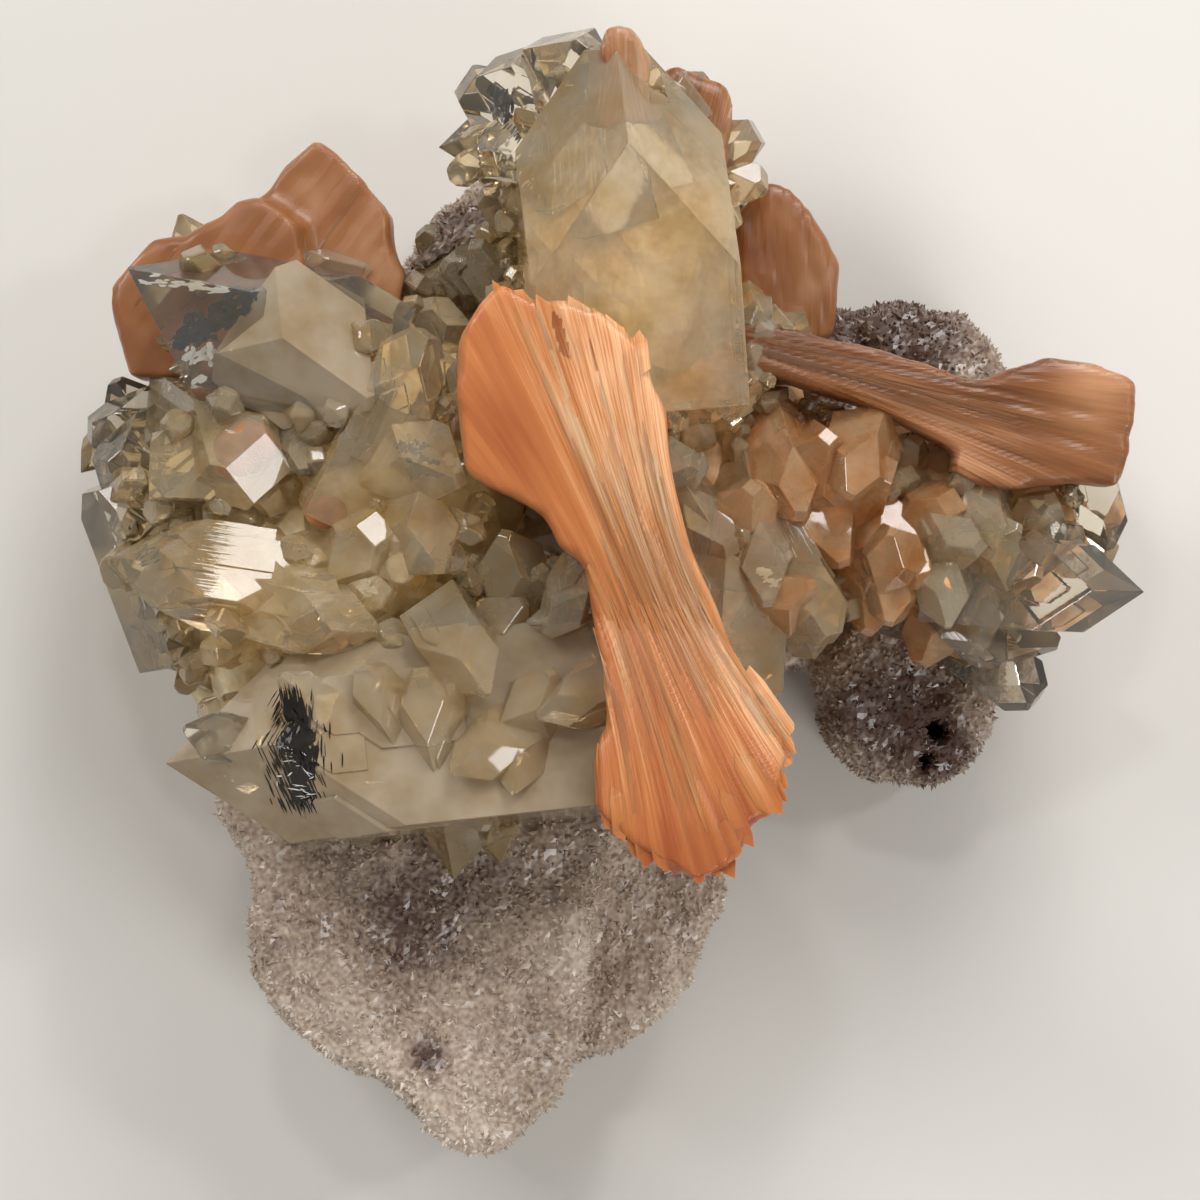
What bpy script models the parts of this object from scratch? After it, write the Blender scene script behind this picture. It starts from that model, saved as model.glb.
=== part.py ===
"""Apophyllite and stilbite cluster on quartz-coated chalcedony.

The specimen lies on the flat back of its matrix with the crystals up. Places
are given as they are seen from straight above, in millimetres: u runs to the
right, v up the picture, and h is the height over the surface it lies on. The
finished objects are in metres.
"""

import math
import random
from typing import NamedTuple

import bmesh
import bpy
from mathutils import Matrix, Vector, noise

# Sizes of the scene as it is seen, in millimetres
MM = 0.001
EYE_DISTANCE = 600.0
MID_HEIGHT = 40.0
JOINT_GAP = 0.3
# How far a seat is cut wide of the gap, since the cut follows rounded surfaces
SEAT_STRETCH = 1.3

# Apophyllite form: a square prism whose corners are cut by a steep pyramid
PYRAMID_SLOPE = math.radians(60.5)
PYRAMID_RISE = math.tan(PYRAMID_SLOPE) * math.sqrt(2)

# Resolution of the rounded masses
MATRIX_VOXEL = 1.6
MATRIX_FACES = 1500
STILBITE_VOXEL = 1.0
FOOT_CUT = 1.5
RIM_LEVEL = 0.95
# How far from its waist a sheaf reaches its full thickness
WAIST_REACH = 30.0
SEED = 11


class Crystal(NamedTuple):
    """One apophyllite crystal, placed by its point.

    tip is where the point is seen and how high it is. turn is the bearing of
    the point in the picture, with 90 up the picture, rise its lift towards the
    eye, and roll the turn about its own length, all in degrees. across is the
    width over opposite prism faces, long the length from the point to the
    root, and blunt the share of the pyramid that is cut off flat.
    """

    tip: tuple
    turn: float
    rise: float
    roll: float
    across: float
    long: float
    blunt: float = 0.0
    ends: int = 1


class Sheaf(NamedTuple):
    """One stilbite sheaf or blade: its outline from above and its heights."""

    name: str
    outlines: tuple
    faces: int
    waist: tuple = ()


# The crystals that show on their own, from the upper left round to the right
MAIN_CRYSTALS = (
    # Upper left: the clear one and the milky one beside it
    Crystal((-59.2, 41.6, 48.0), 150, 26, 30, 20.0, 34.0, 0.03),
    Crystal((-31.0, 26.0, 58.0), -36, 44, 12, 21.5, 25.0, 0.08),
    # Far left rim
    Crystal((-63.8, 21.0, 36.0), 182, 16, 30, 8.5, 18.0, 0.30),
    Crystal((-60.5, 27.5, 33.0), 118, 20, 10, 6.5, 16.0, 0.20),
    Crystal((-62.0, 15.6, 41.0), 205, 30, 25, 8.5, 20.0, 0.35),
    Crystal((-52.0, 17.0, 49.0), 80, 80, 8, 8.5, 20.0, 0.80),
    Crystal((-42.5, 16.5, 52.0), -35, 58, 30, 12.0, 24.0, 0.40),
    Crystal((-37.0, 16.0, 52.0), -80, 40, 40, 5.0, 12.0, 0.20),
    Crystal((-60.2, 15.0, 38.0), 110, 8, 35, 9.0, 24.0, 0.75),
    Crystal((-57.8, 6.0, 42.0), 205, 25, 5, 9.0, 20.0, 0.15),
    # The doubly pointed crystal with the bright six-sided face
    Crystal((-61.5, 5.0, 48.0), 171.5, 3, 24, 10.5, 29.5, 0.06, 2),
    Crystal((-54.8, -6.2, 38.0), 232, 12, 20, 7.0, 20.0, 0.10),
    Crystal((-49.3, -11.2, 36.0), 246, 14, 0, 8.0, 26.0, 0.20),
    Crystal((-50.0, -13.0, 44.0), 150, 22, 15, 7.5, 16.0, 0.15),
    # The long prism along the lower left, and the points below it
    Crystal((-54.4, -20.4, 49.0), 186, 2, 6, 23.0, 60.0, 0.02),
    Crystal((-18.2, -34.9, 44.0), -94, 10, 20, 11.0, 26.0, 0.03),
    Crystal((-12.4, -32.8, 46.0), -80, 25, 35, 4.5, 14.0, 0.10),
    Crystal((-14.2, -28.6, 57.0), -66, 38, 10, 8.5, 20.0, 0.12),
    Crystal((-20.5, -24.5, 58.0), -118, 48, 30, 6.5, 16.0, 0.18),
    Crystal((-9.5, -19.0, 60.0), -20, 55, 35, 7.5, 18.0, 0.20),
    # The middle, between the long prism and the leaning prism
    Crystal((-21.8, 33.4, 54.0), 62, 14, 18, 9.0, 26.0, 0.25),
    Crystal((-15.6, 32.2, 52.0), 84, 22, 30, 7.5, 22.0, 0.15),
    Crystal((-25.0, 20.0, 56.0), 140, 50, 20, 9.0, 22.0, 0.20),
    Crystal((-17.5, 15.0, 58.0), -25, 45, 5, 11.0, 24.0, 0.15),
    Crystal((-28.0, 9.0, 57.0), 60, 62, 25, 9.0, 20.0, 0.30),
    Crystal((-20.0, 4.0, 60.0), -60, 55, 12, 9.5, 22.0, 0.15),
    Crystal((-33.5, 1.5, 56.0), 20, 50, 40, 8.0, 18.0, 0.20),
    Crystal((-12.0, 8.5, 60.0), 100, 48, 15, 8.5, 20.0, 0.12),
    Crystal((-6.6, -4.6, 60.0), 237, 12, 28, 6.0, 16.0, 0.15, 2),
    Crystal((-9.5, 0.0, 58.0), 35, 40, 32, 7.0, 18.0, 0.15),
    Crystal((-27.5, -4.0, 58.0), -15, 35, 22, 8.0, 20.0, 0.10),
    Crystal((-38.0, -4.5, 54.0), -70, 45, 35, 7.0, 16.0, 0.15),
    Crystal((-18.0, -7.5, 60.0), 70, 35, 10, 8.0, 20.0, 0.25),
    # The large block at the top, and what grows on its left shoulder
    Crystal((1.5, 69.0, 50.0), 94, 8, 4, 25.6, 44.0, 0.16),
    Crystal((-20.4, 56.6, 36.0), 186, 8, 12, 7.5, 20.0, 0.0),
    Crystal((-16.8, 64.6, 38.0), 150, 20, 30, 7.0, 18.0, 0.45),
    Crystal((-12.0, 67.4, 40.0), 118, 20, 8, 9.5, 24.0, 0.45),
    Crystal((-5.2, 70.2, 43.0), 104, 14, 20, 10.0, 24.0, 0.55),
    Crystal((-14.0, 54.5, 44.0), 205, 34, 25, 10.0, 24.0, 0.25),
    Crystal((19.6, 58.6, 34.0), 30, 12, 42, 4.6, 14.0, 0.55),
    Crystal((20.6, 52.8, 36.0), 12, 20, 15, 4.6, 14.0, 0.40),
    Crystal((-22.5, 46.0, 24.0), 140, 20, 18, 5.0, 14.0, 0.30),
    Crystal((-23.5, 38.5, 28.0), 190, 25, 30, 6.0, 16.0, 0.25),
    Crystal((-15.5, 44.5, 34.0), 120, 45, 10, 7.5, 18.0, 0.20),
    Crystal((-12.0, 50.5, 36.0), 150, 40, 33, 5.5, 14.0, 0.25),
    Crystal((-15.0, 50.5, 34.0), 160, 30, 12, 6.5, 16.0, 0.20),
    Crystal((-19.5, 42.0, 32.0), 165, 48, 28, 7.0, 18.0, 0.15),
    Crystal((-13.5, 38.5, 42.0), 140, 55, 5, 8.0, 20.0, 0.20),
    Crystal((-22.0, 37.0, 38.0), 120, 50, 20, 6.5, 20.0, 0.25),
    # Right of the bow tie
    Crystal((8.2, 30.8, 46.0), 184, 10, 20, 8.0, 26.0, 0.35),
    Crystal((14.6, 23.0, 52.0), -42, 40, 14, 9.5, 24.0, 0.15),
    Crystal((12.0, 17.5, 53.0), 0, 30, 30, 7.0, 20.0, 0.25),
    Crystal((19.0, 14.0, 52.0), 75, 55, 18, 7.5, 20.0, 0.20),
    Crystal((16.5, 6.5, 52.0), -30, 50, 5, 9.0, 22.0, 0.18),
    Crystal((25.0, 10.5, 50.0), -75, 42, 28, 7.0, 18.0, 0.20),
    Crystal((22.2, -12.0, 46.0), -58, 12, 22, 15.0, 34.0, 0.10),
    Crystal((28.6, -5.0, 48.0), -62, 20, 8, 8.5, 22.0, 0.25),
    Crystal((21.0, -0.5, 51.0), -80, 35, 38, 8.0, 20.0, 0.15),
    # The right arm
    Crystal((28.5, 20.5, 50.0), 70, 60, 22, 11.0, 24.0, 0.15),
    Crystal((35.5, 16.5, 48.0), 15, 58, 8, 12.5, 26.0, 0.20),
    Crystal((30.5, 4.5, 47.0), -60, 45, 30, 10.0, 24.0, 0.12),
    Crystal((40.5, 2.5, 46.0), -50, 48, 15, 10.5, 24.0, 0.18),
    Crystal((44.0, 12.0, 46.0), 40, 62, 35, 9.0, 20.0, 0.25),
    Crystal((51.0, 1.0, 45.0), -72, 14, 16, 6.6, 17.0, 0.10, 2),
    Crystal((68.0, 0.8, 40.0), -5, 2, 4, 11.0, 28.0, 0.03),
    Crystal((63.8, 6.2, 36.0), -78, 16, 8, 6.0, 20.0, 0.12),
    Crystal((60.0, 8.5, 41.0), 25, 45, 25, 6.5, 18.0, 0.20),
    Crystal((56.4, 12.6, 42.0), 55, 55, 10, 6.5, 16.0, 0.20),
    Crystal((57.4, -5.4, 36.0), -18, 8, 30, 8.5, 22.0, 0.15),
    Crystal((54.8, -12.2, 28.0), -38, 10, 5, 8.0, 20.0, 0.30),
    Crystal((58.0, -1.5, 42.0), -30, 40, 40, 6.5, 18.0, 0.20),
    Crystal((47.0, -6.5, 42.0), -85, 40, 20, 7.5, 20.0, 0.15),
    Crystal((40.0, -8.0, 38.0), -110, 22, 0, 7.0, 20.0, 0.18),
    Crystal((33.5, -4.0, 42.0), -100, 35, 25, 8.0, 20.0, 0.15),
)

# The massive apophyllite that the crystals grow out of: middle and half sizes
ROOTS = (
    ((-28.0, 4.0, 28.0), (29.0, 33.0, 20.0)),
    ((3.0, 40.0, 26.0), (15.0, 26.0, 16.0)),
    ((11.0, 12.0, 26.0), (19.0, 24.0, 18.0)),
    ((40.0, 10.0, 25.0), (23.0, 14.0, 13.0)),
    ((-40.0, 36.0, 24.0), (14.0, 12.0, 12.0)),
)

# Small crystals between the main ones
SMALL_COUNT = 38
SMALL_ACROSS = (4.0, 7.0)
SMALL_SPACING = 7.0
SMALL_SLENDERNESS = 2.6

# Stilbite, back to front
BOW_TIE = (
    (-12.6, 39.8), (-15.2, 36.9), (-17.8, 32.6), (-18.0, 25.2), (-16.9, 16.0),
    (-13.8, 14.1), (-10.1, 12.5), (-6.9, 10.6), (-5.2, 6.5), (-2.1, 4.9),
    (-1.0, -1.2), (0.4, -8.5), (0.9, -15.4), (-0.8, -19.4), (-0.5, -26.1),
    (0.9, -28.1), (4.1, -30.8), (6.9, -32.6), (9.9, -33.8), (12.0, -35.1),
    (14.5, -34.1), (16.1, -33.6), (17.0, -31.2), (18.0, -31.4), (19.2, -27.2),
    (21.4, -27.6), (22.4, -24.9), (22.9, -22.1), (23.8, -18.0), (23.1, -14.2),
    (19.6, -10.5), (16.9, -6.6), (15.0, -1.8), (11.8, 5.0), (11.0, 7.4),
    (9.4, 13.8), (8.6, 18.2), (8.4, 24.0), (6.4, 27.2), (5.9, 30.8),
    (3.0, 33.9), (-0.1, 36.1), (-4.6, 37.8), (-7.2, 37.2), (-8.8, 37.8),
)
LEFT_BACK = (
    (-41.5, 51.2), (-39.4, 54.4), (-35.4, 57.9), (-31.9, 55.0), (-27.2, 49.8),
    (-26.2, 48.5), (-26.1, 44.0), (-24.4, 40.9), (-25.6, 33.8), (-27.0, 28.8),
    (-37.5, 25.0), (-45.0, 33.8), (-43.8, 46.2),
)
LEFT_FRONT = (
    (-61.4, 39.0), (-56.1, 45.4), (-52.5, 45.5), (-49.8, 46.9), (-46.9, 48.2),
    (-45.6, 50.0), (-43.0, 50.9), (-40.6, 49.4), (-37.5, 46.9), (-36.2, 37.5),
    (-38.8, 30.0), (-50.0, 27.5), (-58.8, 27.8), (-60.4, 33.2),
)
REAR_BLADE = (
    (20.9, 52.5), (23.8, 51.6), (26.4, 48.4), (28.1, 45.6), (30.1, 42.1),
    (29.8, 37.5), (29.4, 33.0), (25.0, 31.0), (20.2, 31.5), (17.0, 38.8),
    (16.5, 47.5),
)
RIGHT_TIE = (
    (17.0, 34.6), (20.0, 34.4), (27.5, 33.1), (34.5, 31.5), (41.2, 29.4),
    (46.9, 27.1), (50.0, 28.5), (55.8, 30.5), (61.2, 29.8), (67.1, 27.5),
    (67.2, 25.0), (66.8, 22.0), (66.0, 18.1), (64.9, 14.0), (59.8, 14.8),
    (52.5, 14.1), (46.6, 14.2), (43.6, 16.1), (44.8, 18.5), (37.5, 22.5),
    (31.9, 24.8), (25.0, 26.9), (18.0, 28.8),
)
TOP_BLADE = (
    (-0.1, 70.0), (0.9, 71.8), (3.1, 72.2), (4.8, 71.2), (5.6, 69.4),
    (6.4, 67.5), (6.2, 61.9), (5.0, 58.0), (0.5, 58.0),
)
TOP_RIGHT_BLADE = (
    (6.0, 62.0), (7.5, 66.0), (9.4, 67.0), (12.1, 65.8), (15.6, 64.8),
    (16.6, 63.1), (16.6, 57.8), (16.0, 53.0), (6.2, 52.0),
)
SHEAVES = (
    Sheaf("front_stilbite_bow_tie", ((BOW_TIE, 53.0, 72.0),), 520, (-2.0, 0.62)),
    Sheaf("right_stilbite_bow_tie", ((RIGHT_TIE, 33.5, 47.0),), 320),
    Sheaf(
        "left_stilbite_blades",
        ((LEFT_BACK, 20.0, 34.0), (LEFT_FRONT, 26.0, 40.0)),
        340,
    ),
    Sheaf("rear_right_stilbite_blade", ((REAR_BLADE, 19.0, 31.5),), 200),
    Sheaf("top_stilbite_blade", ((TOP_BLADE, 45.0, 54.0),), 130),
    Sheaf("top_right_stilbite_blade", ((TOP_RIGHT_BLADE, 28.0, 36.5),), 130),
)

# Matrix: outlines of its lobes and the heights between which each one lies
PLATE = (
    (-50.0, 24.0), (-46.0, 36.0), (-36.0, 40.0), (-24.8, 40.0), (-22.0, 47.0),
    (-18.5, 50.0), (-12.5, 51.5), (-5.0, 60.0), (12.0, 60.0), (18.0, 50.0),
    (25.0, 37.0), (31.0, 35.4), (35.0, 37.0), (41.0, 37.4), (46.5, 34.4),
    (50.6, 30.0), (57.0, 18.0), (57.0, 5.0), (50.0, -4.0), (48.0, -14.0),
    (40.0, -12.0), (30.0, -9.0), (18.0, -8.0), (10.0, -26.0), (-38.0, -24.0),
    (-43.0, -10.0), (-52.0, 6.0),
)
FRONT_LOBE = (
    (-48.2, -24.0), (-46.5, -29.0), (-43.1, -35.4), (-42.8, -44.0), (-41.0, -50.0),
    (-38.8, -53.5), (-35.4, -56.9), (-31.5, -58.2), (-27.1, -59.2), (-25.0, -62.1),
    (-23.8, -64.6), (-20.8, -66.9), (-17.8, -69.6), (-13.9, -69.0), (-10.0, -67.5),
    (-9.4, -65.5), (-7.6, -63.0), (-5.6, -61.9), (-3.8, -55.0), (-2.2, -48.4),
    (-0.5, -39.8), (0.6, -26.8), (-2.0, -14.0), (-40.0, -14.0),
)
REAR_LOBE = (
    (-8.0, -28.0), (1.0, -24.0), (9.0, -20.0), (14.5, -33.5), (15.4, -38.4),
    (13.2, -44.0), (11.5, -47.0), (7.2, -51.8), (1.2, -55.6), (-3.5, -56.8),
    (-10.0, -52.0), (-14.0, -40.0),
)
RIGHT_LUMP = (
    (28.2, -12.0), (30.1, -18.9), (34.6, -22.0), (39.5, -23.9), (45.2, -21.6),
    (46.1, -18.9), (49.2, -15.6), (52.0, -10.0), (50.0, 4.0), (32.0, 4.0),
)
TOP_RIM = (
    (-23.8, 40.0), (-22.8, 45.0), (-21.0, 49.0), (-17.5, 51.6), (-12.0, 53.0),
    (-6.0, 52.0), (-6.0, 40.0), (-14.0, 36.0),
)
LOBES = (
    (PLATE, 0.0, 22.0),
    (FRONT_LOBE, 0.0, 37.0),
    (REAR_LOBE, 0.0, 20.0),
    (RIGHT_LUMP, 0.0, 25.0),
    (TOP_RIM, 4.0, 28.0),
)
LUMPS = ((13.0, 1.7), (5.5, 0.8))
TUBES = ((42.6, -16.6, 1.8), (41.4, -20.4, 1.6))
TUBE_FLOOR = 14.0
TUBE_LENGTH = 40.0
TUBE_FLARE = 1.15

# What is seen of each material: base colour, roughness, how much light it lets through
FINISHES = {
    "Apophyllite": ((0.50, 0.42, 0.27), 0.08, 0.85),
    "Stilbite": ((0.66, 0.30, 0.15), 0.35, 0.15),
    "Quartz-coated chalcedony": ((0.52, 0.46, 0.41), 0.60, 0.0),
}


def seen(u, v, h):
    """Where a point lies that is seen at u, v from above and is h high."""
    nearer = (EYE_DISTANCE - (h - MID_HEIGHT)) / EYE_DISTANCE
    return Vector((u * nearer, v * nearer, h))


def clear_scene():
    for old in list(bpy.data.objects):
        bpy.data.objects.remove(old, do_unlink=True)


def new_collection(name, helper=False):
    made = bpy.data.collections.new(name)
    made.hide_render = helper
    bpy.context.scene.collection.children.link(made)
    return made


def new_object(name, bm, collection):
    """Make an object of a bmesh, with its faces turned outward."""
    bmesh.ops.recalc_face_normals(bm, faces=bm.faces)
    mesh = bpy.data.meshes.new(name)
    bm.to_mesh(mesh)
    bm.free()
    made = bpy.data.objects.new(name, mesh)
    collection.objects.link(made)
    if collection.hide_render:
        made.hide_render = True
        made.display_type = "WIRE"
    return made


def add_modifier(obj, kind, **settings):
    modifier = obj.modifiers.new(kind.title(), kind)
    for key, value in settings.items():
        setattr(modifier, key, value)
    return modifier


def apply_modifiers(obj):
    """Give an object the mesh that its modifiers make of it."""
    graph = bpy.context.evaluated_depsgraph_get()
    mesh = bpy.data.meshes.new_from_object(obj.evaluated_get(graph))
    obj.modifiers.clear()
    obj.data = mesh


def material(name):
    colour, roughness, clear = FINISHES[name]
    made = bpy.data.materials.get(name) or bpy.data.materials.new(name)
    made.use_nodes = True
    shader = made.node_tree.nodes["Principled BSDF"]
    shader.inputs["Base Color"].default_value = (*colour, 1.0)
    shader.inputs["Roughness"].default_value = roughness
    shader.inputs["Metallic"].default_value = 0.0
    shader.inputs["Transmission Weight"].default_value = clear
    made.diffuse_color = (*colour, 1.0)
    return made


def cut(bm, point, normal):
    """Cut a closed mesh by a plane, drop what lies beyond it and close the cut."""
    everything = bm.verts[:] + bm.edges[:] + bm.faces[:]
    found = bmesh.ops.bisect_plane(
        bm, geom=everything, plane_co=point, plane_no=normal, clear_outer=True
    )
    rim = [e for e in found["geom_cut"] if isinstance(e, bmesh.types.BMEdge)]
    if rim:
        bmesh.ops.contextual_create(bm, geom=rim)


def crystal_frame(crystal):
    """The matrix that takes a crystal's own axes to its place, its point on +Z."""
    turn = math.radians(crystal.turn)
    rise = math.radians(crystal.rise)
    forward = Vector(
        (math.cos(turn) * math.cos(rise), math.sin(turn) * math.cos(rise), math.sin(rise))
    )
    # At roll 0 one prism face looks to the eye as squarely as the rise allows.
    side = Vector((math.sin(turn), -math.cos(turn), 0.0))
    face = forward.cross(side)
    axes = Matrix((side, face, forward)).transposed().to_4x4()
    place = Matrix.Translation(seen(*crystal.tip))
    return place @ axes @ Matrix.Rotation(math.radians(crystal.roll), 4, "Z")


def crystal_bmesh(crystal, grow=0.0):
    """One crystal, each of its faces moved out by grow."""
    half = crystal.across / 2
    bm = bmesh.new()
    size = Matrix.Diagonal((2 * (half + grow), 2 * (half + grow), crystal.long + 2 * grow, 1))
    middle = Matrix.Translation((0, 0, -crystal.long / 2))
    bmesh.ops.create_cube(bm, size=1.0, matrix=middle @ size)
    beyond = crystal.blunt * PYRAMID_RISE * half
    for end in range(crystal.ends):
        up = 1 - 2 * end
        apex = Vector((0, 0, beyond if end == 0 else -crystal.long - beyond))
        for corner in range(4):
            bearing = math.radians(45 + 90 * corner)
            normal = Vector(
                (
                    math.cos(bearing) * math.sin(PYRAMID_SLOPE),
                    math.sin(bearing) * math.sin(PYRAMID_SLOPE),
                    up * math.cos(PYRAMID_SLOPE),
                )
            )
            cut(bm, apex + normal * grow, normal)
    bm.transform(crystal_frame(crystal))
    return bm


def root_bmesh(middle, halves, grow=0.0):
    """A coarse rounded mass under the crystals."""
    bm = bmesh.new()
    bmesh.ops.create_icosphere(bm, subdivisions=2, radius=1.0)
    size = Matrix.Diagonal(tuple(h + grow for h in halves) + (1,))
    bm.transform(Matrix.Translation(seen(*middle)) @ size)
    return bm


def small_crystals():
    """Seeded small crystals that stand off the root masses."""
    rng = random.Random(SEED)
    placed = [Vector(c.tip) for c in MAIN_CRYSTALS]
    made = []
    while len(made) < SMALL_COUNT:
        middle, halves = rng.choice(ROOTS)
        bearing = rng.uniform(0, 360)
        lift = rng.uniform(8, 75)
        out = Vector(
            (
                math.cos(math.radians(bearing)) * math.cos(math.radians(lift)),
                math.sin(math.radians(bearing)) * math.cos(math.radians(lift)),
                math.sin(math.radians(lift)),
            )
        )
        spot = Vector(middle) + Vector(o * h for o, h in zip(out, halves))
        spot += out * rng.uniform(2.0, 5.0)
        if any((spot - other).length < SMALL_SPACING for other in placed):
            continue
        across = rng.uniform(*SMALL_ACROSS)
        made.append(
            Crystal(
                tuple(spot),
                bearing + rng.uniform(-30, 30),
                max(4.0, lift + rng.uniform(-25, 15)),
                rng.uniform(0, 45),
                across,
                across * SMALL_SLENDERNESS,
                rng.uniform(0.05, 0.45),
            )
        )
        placed.append(spot)
    return made


def slab_bmesh(outline, low, high):
    """A straight-sided slab under an outline, which is seen near its top."""
    middle = low + RIM_LEVEL * (high - low)
    bm = bmesh.new()
    corners = []
    for u, v in outline:
        spot = seen(u, v, middle)
        spot.z = low
        corners.append(bm.verts.new(spot))
    bottom = [bm.faces.new(corners)]
    raised = bmesh.ops.extrude_face_region(bm, geom=bottom)["geom"]
    top = [v for v in raised if isinstance(v, bmesh.types.BMVert)]
    bmesh.ops.translate(bm, verts=top, vec=(0, 0, high - low))
    return bm


def rounded_mass(name, slabs, voxel, softness, collection):
    """Slabs joined into one closed mass with rounded edges."""
    bm = bmesh.new()
    for outline, low, high in slabs:
        part = slab_bmesh(outline, low, high)
        mesh = bpy.data.meshes.new("slab")
        bmesh.ops.recalc_face_normals(part, faces=part.faces)
        part.to_mesh(mesh)
        part.free()
        bm.from_mesh(mesh)
        bpy.data.meshes.remove(mesh)
    obj = new_object(name, bm, collection)
    add_modifier(obj, "REMESH", mode="VOXEL", voxel_size=voxel)
    add_modifier(obj, "SMOOTH", factor=0.5, iterations=softness)
    apply_modifiers(obj)
    return obj


def thin_to(obj, faces):
    """Collapse a dense mass to about this many triangles."""
    count = sum(len(p.vertices) - 2 for p in obj.data.polygons)
    add_modifier(obj, "DECIMATE", ratio=faces / count, use_collapse_triangulate=True)
    apply_modifiers(obj)


def grown_copy(obj, collection):
    """The mass with its surface moved out by the joint gap, to cut its seat with."""
    copy = bpy.data.objects.new(obj.name + "_seat", obj.data.copy())
    collection.objects.link(copy)
    copy.hide_render = True
    copy.display_type = "WIRE"
    normals = [Vector(v.normal) for v in copy.data.vertices]
    for vertex, normal in zip(copy.data.vertices, normals):
        vertex.co += normal * JOINT_GAP * SEAT_STRETCH
    return copy


def combine(obj, operation, collection):
    """Join the solids of a collection to an object, or cut them from it."""
    add_modifier(
        obj,
        "BOOLEAN",
        operation=operation,
        operand_type="COLLECTION",
        collection=collection,
        solver="EXACT",
    )
    apply_modifiers(obj)


def intergrown(name, crystals, grow, collection, helpers):
    """The crystals and their massive roots joined in one solid."""
    for middle, halves in ROOTS[1:]:
        new_object("root", root_bmesh(middle, halves, grow), helpers)
    for crystal in crystals:
        new_object("crystal", crystal_bmesh(crystal, grow), helpers)
    obj = new_object(name, root_bmesh(*ROOTS[0], grow), collection)
    combine(obj, "UNION", helpers)
    return obj


def keep_largest(obj):
    """Drop the crumbs that a cut leaves beside the main piece."""
    bm = bmesh.new()
    bm.from_mesh(obj.data)
    unseen = set(bm.verts)
    pieces = []
    while unseen:
        queue = [unseen.pop()]
        piece = set(queue)
        while queue:
            for edge in queue.pop().link_edges:
                for vert in edge.verts:
                    if vert in unseen:
                        unseen.remove(vert)
                        piece.add(vert)
                        queue.append(vert)
        pieces.append(piece)
    pieces.sort(key=len, reverse=True)
    for piece in pieces[1:]:
        bmesh.ops.delete(bm, geom=list(piece), context="VERTS")
    bm.to_mesh(obj.data)
    bm.free()


def build_sheaf(sheaf, collection):
    """A stilbite sheaf: rounded outline, thinner at its waist."""
    obj = rounded_mass(sheaf.name, sheaf.outlines, STILBITE_VOXEL, 4, collection)
    if sheaf.waist:
        waist_v, share = sheaf.waist
        low = min(v.co.z for v in obj.data.vertices)
        high = max(v.co.z for v in obj.data.vertices)
        middle = (low + high) / 2
        for vertex in obj.data.vertices:
            far = min(1.0, abs(vertex.co.y - waist_v) / WAIST_REACH)
            thick = share + (1 - share) * math.sin(far * math.pi / 2)
            vertex.co.z = middle + (vertex.co.z - middle) * thick
    thin_to(obj, sheaf.faces)
    return obj


def build_matrix(collection, helpers):
    """The chalcedony lobes with their lumps, flat foot and tube holes."""
    obj = rounded_mass("chalcedony_matrix", LOBES, MATRIX_VOXEL, 5, collection)
    normals = [Vector(v.normal) for v in obj.data.vertices]
    for vertex, normal in zip(obj.data.vertices, normals):
        for size, height in LUMPS:
            vertex.co += normal * height * noise.noise(vertex.co / size)
    thin_to(obj, MATRIX_FACES)
    bm = bmesh.new()
    bm.from_mesh(obj.data)
    cut(bm, Vector((0, 0, FOOT_CUT)), Vector((0, 0, -1)))
    bm.to_mesh(obj.data)
    bm.free()
    for u, v, radius in TUBES:
        drill = bmesh.new()
        bmesh.ops.create_cone(
            drill,
            cap_ends=True,
            segments=10,
            radius1=radius,
            radius2=radius * TUBE_FLARE,
            depth=TUBE_LENGTH,
        )
        drill.transform(Matrix.Translation(seen(u, v, TUBE_FLOOR + TUBE_LENGTH / 2)))
        new_object("tube_hole", drill, helpers)
    return obj


def finish(objects):
    """Stand everything on zero, centre it, and turn millimetres into metres."""
    points = [v.co for obj in objects for v in obj.data.vertices]
    low = Vector(min(p[i] for p in points) for i in range(3))
    high = Vector(max(p[i] for p in points) for i in range(3))
    shift = Vector((-(low.x + high.x) / 2, -(low.y + high.y) / 2, -low.z))
    for obj in objects:
        obj.data.transform(Matrix.Scale(MM, 4) @ Matrix.Translation(shift))
        obj.data.update()
    return shift


def main():
    clear_scene()
    parts = new_collection("Apophyllite cluster")
    crystal_helpers = new_collection("Crystals to join", helper=True)
    seat_helpers = new_collection("Seats", helper=True)
    grown_helpers = new_collection("Wider crystals to join", helper=True)
    root_helpers = new_collection("Crystal seat", helper=True)
    tube_helpers = new_collection("Tube holes", helper=True)

    sheaves = [build_sheaf(sheaf, parts) for sheaf in SHEAVES]
    for sheaf in sheaves:
        grown_copy(sheaf, seat_helpers)
        sheaf.data.materials.append(material("Stilbite"))

    crystals = list(MAIN_CRYSTALS) + small_crystals()
    apophyllite = intergrown("apophyllite_crystals", crystals, 0.0, parts, crystal_helpers)
    combine(apophyllite, "DIFFERENCE", seat_helpers)
    keep_largest(apophyllite)
    apophyllite.data.materials.clear()
    apophyllite.data.materials.append(material("Apophyllite"))

    matrix = build_matrix(parts, tube_helpers)
    intergrown("crystal_seat", crystals, JOINT_GAP, root_helpers, grown_helpers)
    combine(matrix, "DIFFERENCE", root_helpers)
    combine(matrix, "DIFFERENCE", seat_helpers)
    combine(matrix, "DIFFERENCE", tube_helpers)
    keep_largest(matrix)
    matrix.data.materials.clear()
    matrix.data.materials.append(material("Quartz-coated chalcedony"))

    shift = finish([matrix, apophyllite, *sheaves])
    print("The middle of the picture lies at", [round(s * MM, 5) for s in shift])


main()
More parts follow.
